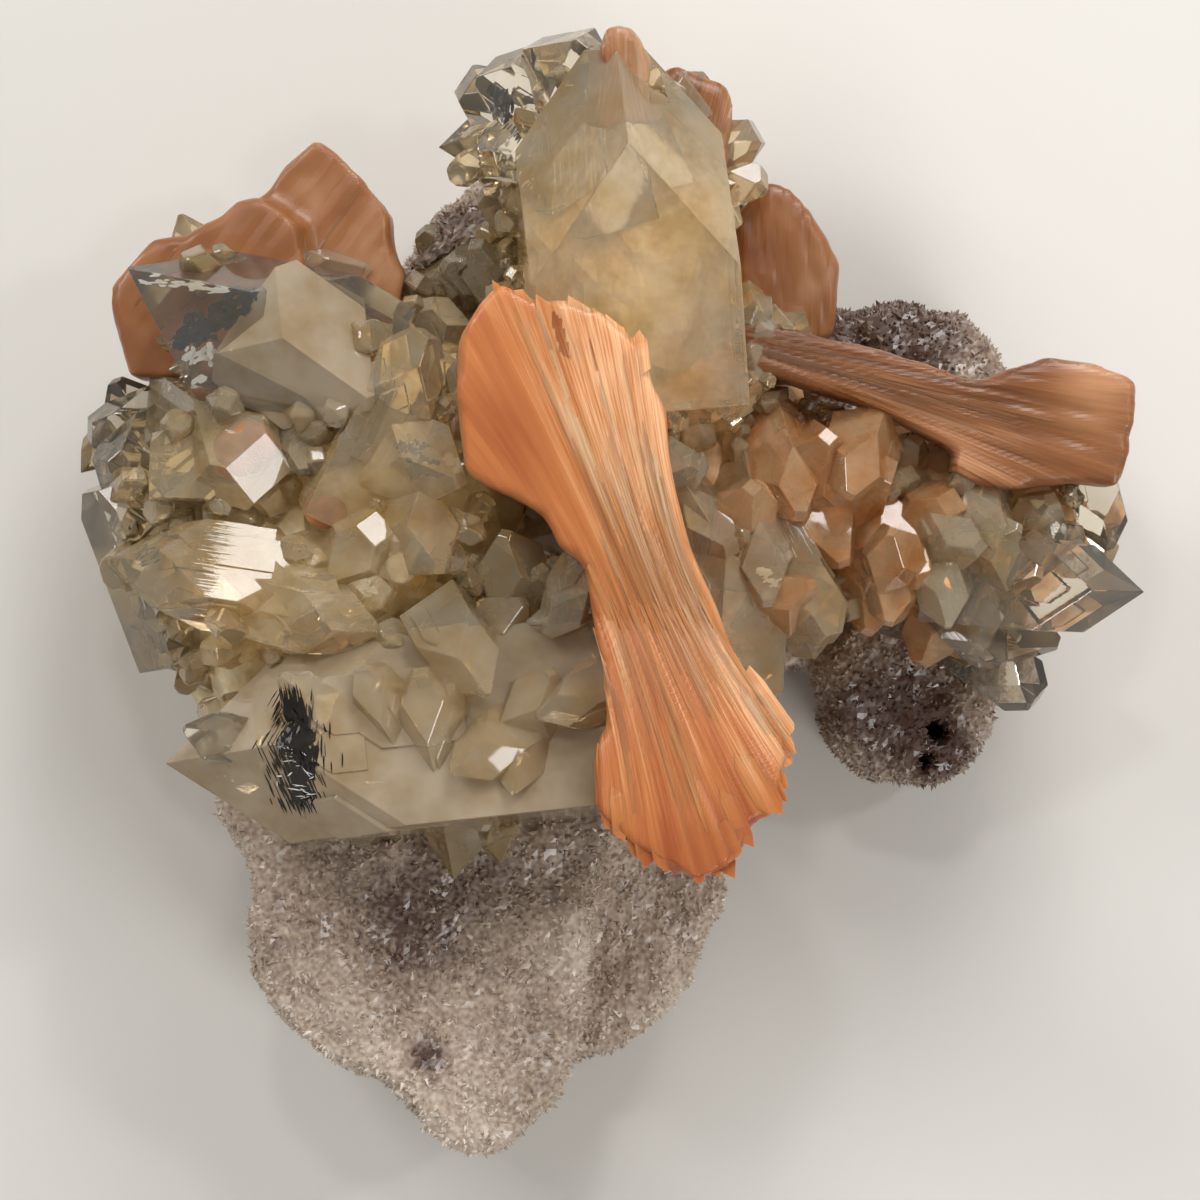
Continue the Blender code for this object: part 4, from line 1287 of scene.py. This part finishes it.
@dataclass
class StilbiteSheaf:
    """A stilbite sheaf or blade, built of laths that follow its fibres.

    axis is the bearing of the fibres, and fan whether they spread from a waist to both ends.
    calm is how smooth and even the left side of the far end is, which shows fibres elsewhere
    only. A patch changes the tone and the silk around a share across and a place along in
    millimetres, over a reach in both.
    """

    node: str
    axis: float
    finish: SilkyStilbite
    fan: bool = False
    patches: tuple[tuple[float, float, float, float, float, float], ...] = ()
    laths: int = 40
    blades: int = 60
    ends: tuple[int, int] = (0, 0)
    fine: float = 0.4
    ridge: float = 0.16
    tone: tuple[float, float] = (0.0, 0.2)
    calm: float = 0.0
    seed: int = 1

    def measure(self, points: np.ndarray) -> None:
        """Find the fibre coordinates of the solid.

        Args:
            points: Points of the solid, in metres.
        """
        bearing = math.radians(self.axis)
        self.along = np.array((math.cos(bearing), math.sin(bearing)))
        self.over = np.array((math.sin(bearing), -math.cos(bearing)))
        self.middle = points[:, :2].mean(axis=0)
        a = (points[:, :2] - self.middle) @ self.along
        w = (points[:, :2] - self.middle) @ self.over
        self.reach = (a.min(), a.max())
        stations = np.linspace(a.min(), a.max(), 17)
        half = (stations[1] - stations[0]) * 0.9
        near = [w[abs(a - s) < half] for s in stations]
        # The rounded ends don't count, so that the fibres fan out to them
        inner = slice(3, -3)
        left = np.array([n.min() for n in near])[inner]
        right = np.array([n.max() for n in near])[inner]
        self.centre = np.polyfit(stations[inner], (left + right) / 2, 1)
        self.spread = np.polyfit(stations[inner], ((right - left) / 2) ** 2, 2)
        if not self.fan or self.spread[0] < 0:
            self.spread = np.array([0.0, 0.0, ((right - left).max() / 2) ** 2])
        self.width = max(np.ptp(n) for n in near)

    def edges(self, a: np.ndarray | float) -> tuple:
        """Find the edges of the fan.

        Args:
            a: Places along, in metres.

        Returns:
            The left and the right edge at each place.
        """
        middle = np.polyval(self.centre, a)
        half = np.sqrt(np.maximum(np.polyval(self.spread, a), (2 * MM) ** 2))
        return middle - half, middle + half

    def fibre(self, points: np.ndarray) -> tuple[np.ndarray, np.ndarray]:
        """Give the share across the sheaf and the place along it.

        Args:
            points: Points, in metres.

        Returns:
            The share from 0 at the left edge to 1 at the right one, and metres along.
        """
        flat = points[:, :2] - self.middle
        a = flat @ self.along
        left, right = self.edges(a)
        return (flat @ self.over - left) / (right - left), a

    def point(self, share: float, a: float, z: float) -> Vector:
        """Turn fibre coordinates to a point.

        Args:
            share: The share across.
            a: The place along, in metres.
            z: The point's height, in metres.

        Returns:
            The point.
        """
        left, right = self.edges(a)
        flat = self.middle + self.along * a + self.over * (left + share * (right - left))
        return Vector((flat[0], flat[1], z))

    def stillness(
        self, share: np.ndarray | float, a: np.ndarray | float
    ) -> np.ndarray | float:
        """Give how smooth the sheaf is.

        Args:
            share: Shares across.
            a: Places along, in metres.

        Returns:
            From 0, where fibres show, to 1, where none do.
        """
        left_side = np.clip((CALM_SHARE - share) / CALM_FADE, 0, 1)
        far_end = np.clip((a - CALM_START) / CALM_REACH, 0, 1)
        return self.calm * left_side * far_end

    def build(self) -> None:
        """Model the sheaf's body and the blades on it."""
        rng = np.random.default_rng(self.seed)
        material = self.finish.make()
        body = copy_of_node(self.node, self.node + "_fibres")
        apply_modifier(body, "REMESH", mode="VOXEL", voxel_size=self.fine * MM)
        apply_modifier(body, "SMOOTH", factor=0.5, iterations=10)
        points = points_of(body)
        self.measure(points)
        share, a = self.fibre(points)
        still = self.stillness(share, a)
        height = self.ridges(share, a, rng) * (1 - 0.9 * still)
        points += normals_of(body) * (height * self.ridge * MM)[:, None]
        move_points(body, points)
        set_uv(body, np.column_stack((share * self.width, a)))
        tone, silk = self.look(share, a)
        set_share(body, "tone", tone)
        set_share(body, "silk", silk)
        finish_piece(body, material, Slot.STILBITE.value, self.node)
        self.build_blades(tree_of(body), material, rng)

    def look(self, share: np.ndarray, a: np.ndarray) -> tuple[np.ndarray, np.ndarray]:
        """Give the tone and how silky the fibres are at places of the sheaf.

        Args:
            share: Shares across.
            a: Places along, in metres.

        Returns:
            The tone, and the silk from 0 up.
        """
        low, high = self.tone
        tone = low + (high - low) * np.clip(share, 0, 1)
        silk = 1 - 0.75 * self.stillness(share, a)
        for across, along, reach_across, reach_along, paler, silkier in self.patches:
            gap = ((share - across) / reach_across) ** 2 + ((a / MM - along) / reach_along) ** 2
            tone = tone + paler * np.exp(-gap)
            silk = silk + silkier * np.exp(-gap)
        return tone, np.maximum(silk, 0.05)

    def ridges(
        self, share: np.ndarray, a: np.ndarray, rng: np.random.Generator
    ) -> np.ndarray:
        """Give the height of the laths, wide ones and narrow ones, at places of the sheaf.

        Args:
            share: Shares across.
            a: Places along.
            rng: Source of chance.

        Returns:
            Heights, mostly within -1 to 1.
        """
        total = np.zeros(len(share))
        # Just short of the last station, so that each place has a next one
        last = LATH_STATIONS - 1.1
        for part, size in LATH_LAYERS:
            count = self.laths * part
            table = rng.uniform(-1, 1, (int(count) + 3, LATH_STATIONS))
            column = (share * count) % (table.shape[0] - 1)
            row = (a - self.reach[0]) / (self.reach[1] - self.reach[0]) * last
            row = np.clip(row, 0, last)
            c, r = column.astype(int), row.astype(int)
            s, t = column - c, row - r
            near = table[c, r] * (1 - s) + table[c + 1, r] * s
            far = table[c, r + 1] * (1 - s) + table[c + 1, r + 1] * s
            total += size * (near * (1 - t) + far * t)
        return total

    def blade_sizes(self, kind: tuple, rng: np.random.Generator) -> tuple[float, float, float]:
        """Draw a blade's sizes.

        Args:
            kind: The ranges of its width, its thickness and its stand over the sheaf.
            rng: Source of chance.

        Returns:
            Its width, its thickness and how far its middle lies over the sheaf, in metres.
        """
        wide, thick, off = (rng.uniform(*limits) * MM for limits in kind)
        return wide, thick, off - thick / 2

    def build_blades(
        self, tree: BVHTree, material: bpy.types.Material, rng: np.random.Generator
    ) -> None:
        """Lay thin blades with chisel ends along the fibres, and thick ones at the ends.

        Args:
            tree: The body's faces.
            material: The stilbite's material.
            rng: Source of chance.
        """
        start, stop = self.reach
        whole = stop - start
        blades = []
        for _ in range(self.blades):
            share = rng.uniform(0.05, 0.95)
            low = start + whole * rng.uniform(0.0, 0.75)
            high = min(low + whole * rng.uniform(0.15, 0.4), stop)
            if rng.random() < self.stillness(share, (low + high) / 2):
                continue
            sizes = self.blade_sizes(THIN_BLADE, rng)
            blades.append(self.blade(tree, share, low, high, sizes, 0, rng))
        for count, at, inward in zip(self.ends, (start, stop), (1, -1)):
            for number in range(count):
                share = (number + rng.uniform(0.2, 0.8)) / count
                rim = self.rim(tree, share, at, inward)
                if rim is None or rng.random() < self.stillness(share, rim):
                    continue
                low = rim - inward * rng.uniform(0.0, 0.9) * MM
                high = rim + inward * rng.uniform(4.0, 9.0) * MM
                sizes = self.blade_sizes(END_BLADE, rng)
                blades.append(self.blade(tree, share, low, high, sizes, 1, rng))
        blades = [blade for blade in blades if blade]
        if blades:
            piece = joined(self.node + "_blades", blades)
            finish_piece(piece, material, Slot.STILBITE.value)

    def rim(self, tree: BVHTree, share: float, at: float, inward: int) -> float | None:
        """Find where the sheaf starts along one fibre, coming from an end.

        Args:
            tree: The body's faces.
            share: The fibre's share across.
            at: The end's place along.
            inward: Which way the sheaf lies from there.

        Returns:
            The place along, or None where the fibre misses the sheaf.
        """
        for step in range(RIM_STEPS):
            a = at + inward * step * RIM_STEP * MM
            if tree.ray_cast(self.point(share, a, RAY_START), DOWN)[0] is not None:
                return a
        return None

    def blade(
        self,
        tree: BVHTree,
        share: float,
        low: float,
        high: float,
        sizes: tuple[float, float, float],
        past: int,
        rng: np.random.Generator,
    ) -> bpy.types.Object | None:
        """Model one blade from a cube that is divided along its length and laid on the sheaf.

        Args:
            tree: The body's faces.
            share: The blade's place across the sheaf.
            low: Where it starts along the sheaf.
            high: Where it ends.
            sizes: Its width, its thickness and how far its middle lies over the sheaf.
            past: How many of its stations may lie past the rim.
            rng: Source of chance.

        Returns:
            The blade's object, or None where the sheaf doesn't reach.
        """
        wide, thick, lift = sizes
        steps = BLADE_STEPS
        spots = []
        for step in range(steps + 1):
            a = low + (high - low) * step / steps
            top = self.point(share, a, RAY_START)
            hit = tree.ray_cast(top, DOWN)[0]
            spots.append((top, hit))
        found = [hit.z for _, hit in spots if hit is not None]
        if len(found) < len(spots) - past:
            return None
        # Where the blade reaches past the rim it keeps on level with its nearest part
        path, level = [], found[0]
        for top, hit in spots:
            level = hit.z if hit is not None else level
            path.append(Vector((top.x, top.y, level)))
        deselect()
        bpy.ops.mesh.primitive_cube_add(size=1.0, location=(0, 0, 0))
        obj = bpy.context.object
        bpy.ops.object.mode_set(mode="EDIT")
        for cut in range(1, steps):
            bpy.ops.mesh.select_all(action="SELECT")
            bpy.ops.mesh.bisect(plane_co=(cut / steps - 0.5, 0, 0), plane_no=(1, 0, 0))
        bpy.ops.object.mode_set(mode="OBJECT")
        side = Vector((self.over[0], self.over[1], 0))
        ahead = Vector((self.along[0], self.along[1], 0))
        slant = rng.uniform(-0.8, 0.8)
        corners = points_of(obj)
        places = []
        for x, y, z in corners:
            part = min(steps - 1e-6, (x + 0.5) * steps)
            i = int(part)
            spot = path[i].lerp(path[i + 1], part - i)
            at_end = abs(x) > 0.499
            narrow = CHISEL if at_end else 1.0
            spot = spot + side * y * wide * narrow + ahead * slant * y * wide * at_end
            places.append(spot + Vector((0, 0, lift + z * thick)))
        move_points(obj, np.array(places))
        shares, a = self.fibre(points_of(obj))
        set_uv(obj, np.column_stack((shares * self.width, a)))
        tone, silk = self.look(shares, a)
        set_share(obj, "tone", tone + rng.uniform(-0.05, 0.07))
        set_share(obj, "silk", silk * 0.8)
        return obj


PEACH = SilkyStilbite()
BROWN = SilkyStilbite("stilbite, brown in its shade", "d0986e", "965f34", "643818", clear=0.2)
GLASSY = SilkyStilbite(
    "stilbite, glassy and pale", "deb490", "ac7244", "864a20", 0.25, 0.34, bands=(150.0, 120.0)
)
SHEAVES = (
    # Front bow tie: paler across to its right side and darker on its left, partly the fibres' own
    # tone and partly painted light on the side that the light falls on
    StilbiteSheaf(
        "front_stilbite_bow_tie", 105.0, PEACH, fan=True,
        patches=(
            (0.26, 20.0, 0.14, 7.0, -0.20, -0.3),
            (0.78, 18.0, 0.30, 15.0, 0.20, 0.5),
            (0.45, -18.0, 0.28, 9.0, -0.10, 0.2),
            (0.85, -14.0, 0.18, 12.0, 0.12, 0.4),
            (0.50, -35.0, 0.90, 6.5, -0.20, -0.9),
        ),
        laths=52, blades=150, ends=(20, 14), tone=(0.04, 0.14), calm=1.0, seed=3,
    ),
    StilbiteSheaf(
        "right_stilbite_bow_tie", -10.0, BROWN, fan=True,
        patches=(
            (0.55, 16.0, 0.6, 7.0, 0.04, -0.8),
            (0.08, 17.0, 0.28, 6.0, 0.42, -0.5),
            (0.85, 0.0, 0.22, 8.0, 0.3, 0.3),
        ),
        laths=26, blades=30, ridge=0.22, tone=(-0.06, 0.06), seed=4,
    ),
    StilbiteSheaf(
        "left_stilbite_blades", 70.0, GLASSY, patches=((0.5, 0.0, 3.0, 60.0, -0.02, -0.9),),
        laths=30, blades=8, ridge=0.17, seed=5,
    ),
    StilbiteSheaf(
        "rear_right_stilbite_blade", 80.0, GLASSY, patches=((0.5, 0.0, 3.0, 60.0, -0.08, -0.9),),
        laths=24, blades=6, ridge=0.16, seed=6,
    ),
    StilbiteSheaf(
        "top_stilbite_blade", 90.0, GLASSY, patches=((0.5, 0.0, 3.0, 60.0, 0.1, -0.5),),
        laths=14, blades=8, fine=0.3, ridge=0.16, seed=7,
    ),
    StilbiteSheaf(
        "top_right_stilbite_blade", 60.0, BROWN, laths=14, blades=8, fine=0.3, seed=8
    ),
)

# How high the stained and painted-shade places of the druse are taken to be, in millimetres
STAIN_AND_SHADE_HEIGHT = MID_HEIGHT * 0.6
# Where the druse is stained, or darker with painted shade: seen place, reach in millimetres, and by
# how much
STAINS_AND_SHADE = (
    (-18.5, -37.0, 8.0, -0.20),
    (-24.0, -44.0, 6.5, -0.18),
    (-14.0, -33.0, 6.0, -0.08),
    (-3.5, -42.0, 4.5, 0.14),
    (-36.0, -41.0, 9.0, -0.08),
    # Painted shade: a dark spot where a pit is
    (-21.0, -56.0, 2.4, -0.40),
    (-31.0, -38.0, 5.0, -0.08),
    (6.0, -33.0, 9.0, -0.10),
    (4.0, -44.0, 10.0, -0.06),
    # Painted shade: the next three darken the matrix under the right arm
    (38.0, -14.0, 9.0, -0.34),
    (42.0, -19.0, 5.0, -0.34),
    (31.0, -14.0, 5.0, -0.16),
    (-16.0, 46.0, 8.0, -0.20),
    # Painted shade over the rear right of the matrix
    (36.0, 34.0, 16.0, -0.38),
)


def stain_and_shade_at(points: np.ndarray) -> np.ndarray:
    """Find how much darker or paler the druse is, by its stains and its painted shade.

    Args:
        points: Points on it, in metres.

    Returns:
        What is added to the tone at each point.
    """
    total = np.zeros(len(points))
    for u, v, reach, amount in STAINS_AND_SHADE:
        spot = seen(u, v, STAIN_AND_SHADE_HEIGHT)
        gap = np.hypot(points[:, 0] - spot.x, points[:, 1] - spot.y) / (reach * MM)
        total += amount * np.exp(-(gap**2))
    return total


QUARTZ_SIDES = 6


@dataclass
class DruseMatrix:
    """The chalcedony lump with its coat of tiny quartz points.

    lumps gives the height and the width of each layer of unevenness. grain is how wide a quartz
    point is, lean how far the points lean at random, and unequal how much their widths differ.
    Lengths are in millimetres.
    """

    node: str = "chalcedony_matrix"
    fine: float = 0.8
    lumps: tuple[tuple[float, float], ...] = ((0.9, 5.5), (0.5, 2.2), (0.25, 1.0))
    grain: float = 0.7
    per_piece: int = 15000
    lean: float = 0.42
    unequal: float = 0.28
    seed: int = 21

    def build(self) -> None:
        """Model the lump and its druse."""
        material = QuartzDruse().make()
        body = copy_of_node(self.node, "chalcedony_body")
        apply_modifier(body, "REMESH", mode="VOXEL", voxel_size=self.fine * MM)
        apply_modifier(body, "SMOOTH", factor=0.5, iterations=4)
        points = points_of(body)
        normals = normals_of(body)
        rough = np.array([self.relief(Vector(p)) for p in points])
        free = np.clip((points[:, 2] - 0.0008) / 0.003, 0, 1)
        move_points(body, points + normals * (rough * free)[:, None] * MM)
        set_share(body, "tone", stain_and_shade_at(points) - 0.06)
        finish_piece(body, material, Slot.CHALCEDONY.value, self.node)
        self.build_druse(body, material)

    def relief(self, spot: Vector) -> float:
        """Give the height of the lumps at a point, in millimetres."""
        return sum(high * noise.noise(spot / (wide * MM)) for high, wide in self.lumps)

    def build_druse(self, body: bpy.types.Object, material: bpy.types.Material) -> None:
        """Stand quartz points all over the lump, as joined meshes from arrays.

        Args:
            body: The lump.
            material: The druse's material.
        """
        rng = np.random.default_rng(self.seed)
        mesh = body.data
        mesh.calc_loop_triangles()
        triangles = np.empty(len(mesh.loop_triangles) * 3, np.int32)
        mesh.loop_triangles.foreach_get("vertices", triangles)
        points = points_of(body)
        corners = points[triangles.reshape(-1, 3)]
        cross = np.cross(corners[:, 1] - corners[:, 0], corners[:, 2] - corners[:, 0])
        area = np.linalg.norm(cross, axis=1) / 2
        normal = cross / np.maximum(area[:, None] * 2, 1e-12)
        # The side that faces the light is covered closely, the underside not at all
        weight = area * np.clip(normal[:, 2] + 0.75, 0, 1) * (corners[:, 0, 2] > 1.2 * MM)
        count = self.per_piece * 2
        chosen = rng.choice(len(area), count, p=weight / weight.sum())
        s, t = rng.random(count), rng.random(count)
        flip = s + t > 1
        s[flip], t[flip] = 1 - s[flip], 1 - t[flip]
        a, b, c = corners[chosen, 0], corners[chosen, 1], corners[chosen, 2]
        spots = a + (b - a) * s[:, None] + (c - a) * t[:, None]
        ways = normal[chosen] + rng.normal(0, self.lean, (count, 3))
        ways /= np.linalg.norm(ways, axis=1)[:, None]
        sizes = self.grain * MM * rng.lognormal(0, self.unequal, count)
        order = np.argsort(spots[:, 1])
        for part, name in ((order[: count // 2], "front"), (order[count // 2 :], "rear")):
            self.points_piece(name, spots[part], ways[part], sizes[part], rng, material)

    def points_piece(
        self,
        name: str,
        spots: np.ndarray,
        ways: np.ndarray,
        sizes: np.ndarray,
        rng: np.random.Generator,
        material: bpy.types.Material,
    ) -> None:
        """Make one piece of quartz points: six-sided, each with its tip.

        Args:
            name: Which side of the lump it covers.
            spots: Where each point stands.
            ways: Which way each one points.
            sizes: How wide each one is.
            rng: Source of chance.
            material: The druse's material.
        """
        count = len(spots)
        turn = np.arange(QUARTZ_SIDES) * math.pi / 3
        foot = np.full(QUARTZ_SIDES, -0.5)
        ring = np.column_stack((np.cos(turn), np.sin(turn), foot)) * (0.5, 0.5, 1)
        pattern = np.vstack((ring, (0, 0, 0.75)))
        other = np.where(abs(ways[:, 2:3]) < 0.9, (0.0, 0.0, 1.0), (1.0, 0.0, 0.0))
        side = np.cross(ways, other)
        side /= np.linalg.norm(side, axis=1)[:, None]
        third = np.cross(ways, side)
        spin = rng.uniform(0, math.pi, count)[:, None]
        first = side * np.cos(spin) + third * np.sin(spin)
        second = np.cross(ways, first)
        local = pattern[None] * sizes[:, None, None]
        made = spots[:, None] + (
            local[..., 0:1] * first[:, None]
            + local[..., 1:2] * second[:, None]
            + local[..., 2:3] * ways[:, None]
        )
        sides = [(i, (i + 1) % QUARTZ_SIDES, QUARTZ_SIDES) for i in range(QUARTZ_SIDES)]
        base = [tuple(reversed(range(QUARTZ_SIDES)))]
        mesh = bpy.data.meshes.new("druse_" + name)
        start = (np.arange(count) * len(pattern))[:, None, None]
        tips = (start + np.array(sides)[None]).reshape(-1, 3)
        bases = (start + np.array(base)[None]).reshape(-1, QUARTZ_SIDES)
        mesh.from_pydata(made.reshape(-1, 3).tolist(), [], tips.tolist() + bases.tolist())
        piece = bpy.data.objects.new("quartz_druse_" + name, mesh)
        link(piece)
        tone = stain_and_shade_at(spots) + rng.uniform(-0.08, 0.1, count)
        set_share(piece, "tone", np.repeat(tone, len(pattern)))
        finish_piece(piece, material, Slot.CHALCEDONY.value)


@dataclass(frozen=True)
class Softbox:
    """One softbox: where it hangs, as degrees round and over the floor, its size and power."""

    name: str
    bearing: float
    steepness: float
    size: tuple[float, float]
    power: float
    distance: float = 0.75

    def hang(self) -> None:
        """Hang the softbox so that it faces the specimen."""
        data = bpy.data.lights.new(self.name, "AREA")
        data.shape = "RECTANGLE"
        data.size, data.size_y = self.size
        data.energy = self.power
        light = bpy.data.objects.new(self.name, data)
        away = bearing_vector(self.bearing, self.steepness)
        light.location = away * self.distance + Vector((0, 0, MID_HEIGHT * MM))
        light.rotation_euler = away.to_track_quat("Z", "Y").to_euler()
        link(light)


@dataclass
class Studio:
    """A pale floor, soft lights and the camera that looks straight down."""

    floor_size: float = 3.0
    floor_colour: str = "dcd8d2"
    world_strength: float = 0.4
    softboxes: tuple[Softbox, ...] = (
        Softbox("key_softbox", 72.0, 36.0, (0.27, 0.34), 3.3),
        Softbox("left_softbox", 142.0, 40.0, (0.24, 0.24), 1.9),
        Softbox("right_softbox", -45.0, 38.0, (0.24, 0.24), 1.7),
        Softbox("key_sparkle", 100.0, 62.0, (0.06, 0.06), 0.55),
        Softbox("right_sparkle", 20.0, 50.0, (0.06, 0.06), 0.55),
    )

    def build(self) -> None:
        """Set up the floor, the lights, the world and the camera."""
        self.lay_floor()
        for softbox in self.softboxes:
            softbox.hang()
        world = bpy.data.worlds.new("soft studio")
        world.use_nodes = True
        back = world.node_tree.nodes["Background"]
        back.inputs["Color"].default_value = linear("e6e4e0")
        back.inputs["Strength"].default_value = self.world_strength
        bpy.context.scene.world = world
        self.set_camera()

    def lay_floor(self) -> None:
        """Lay the pale floor under the specimen."""
        deselect()
        bpy.ops.mesh.primitive_plane_add(size=self.floor_size)
        floor = bpy.context.object
        floor.name = "floor"
        material, _, shader = new_material("pale studio paper")
        shader.inputs["Base Color"].default_value = linear(self.floor_colour)
        shader.inputs["Roughness"].default_value = 0.9
        floor.data.materials.append(material)

    def set_camera(self) -> None:
        """Look straight down from where the picture was taken."""
        data = bpy.data.cameras.new("camera")
        data.angle = 2 * math.atan(HALF_PICTURE / EYE_DISTANCE)
        data.clip_start = 0.01
        camera = bpy.data.objects.new("camera", data)
        eye = Vector((0, 0, (EYE_DISTANCE + MID_HEIGHT) * MM)) + PICTURE_MIDDLE
        camera.location = eye
        link(camera)
        bpy.context.scene.camera = camera


# Light may pass through several faces of the crystals, and even places are left early
LIGHT_PATHS = {
    "adaptive_threshold": 0.1,
    "max_bounces": 7,
    "transmission_bounces": 6,
    "diffuse_bounces": 2,
    "glossy_bounces": 2,
}


def main() -> None:
    """Build the sub-assemblies in order."""
    logging.basicConfig(level=logging.INFO, format="%(name)s: %(message)s")
    scene = bpy.context.scene
    scene.view_settings.view_transform = "Standard"
    for name, value in LIGHT_PATHS.items():
        setattr(scene.cycles, name, value)
    DruseMatrix().build()
    for sheaf in SHEAVES:
        sheaf.build()
    ApophylliteCrystals().build()
    Studio().build()


if __name__ == "__main__":
    main()
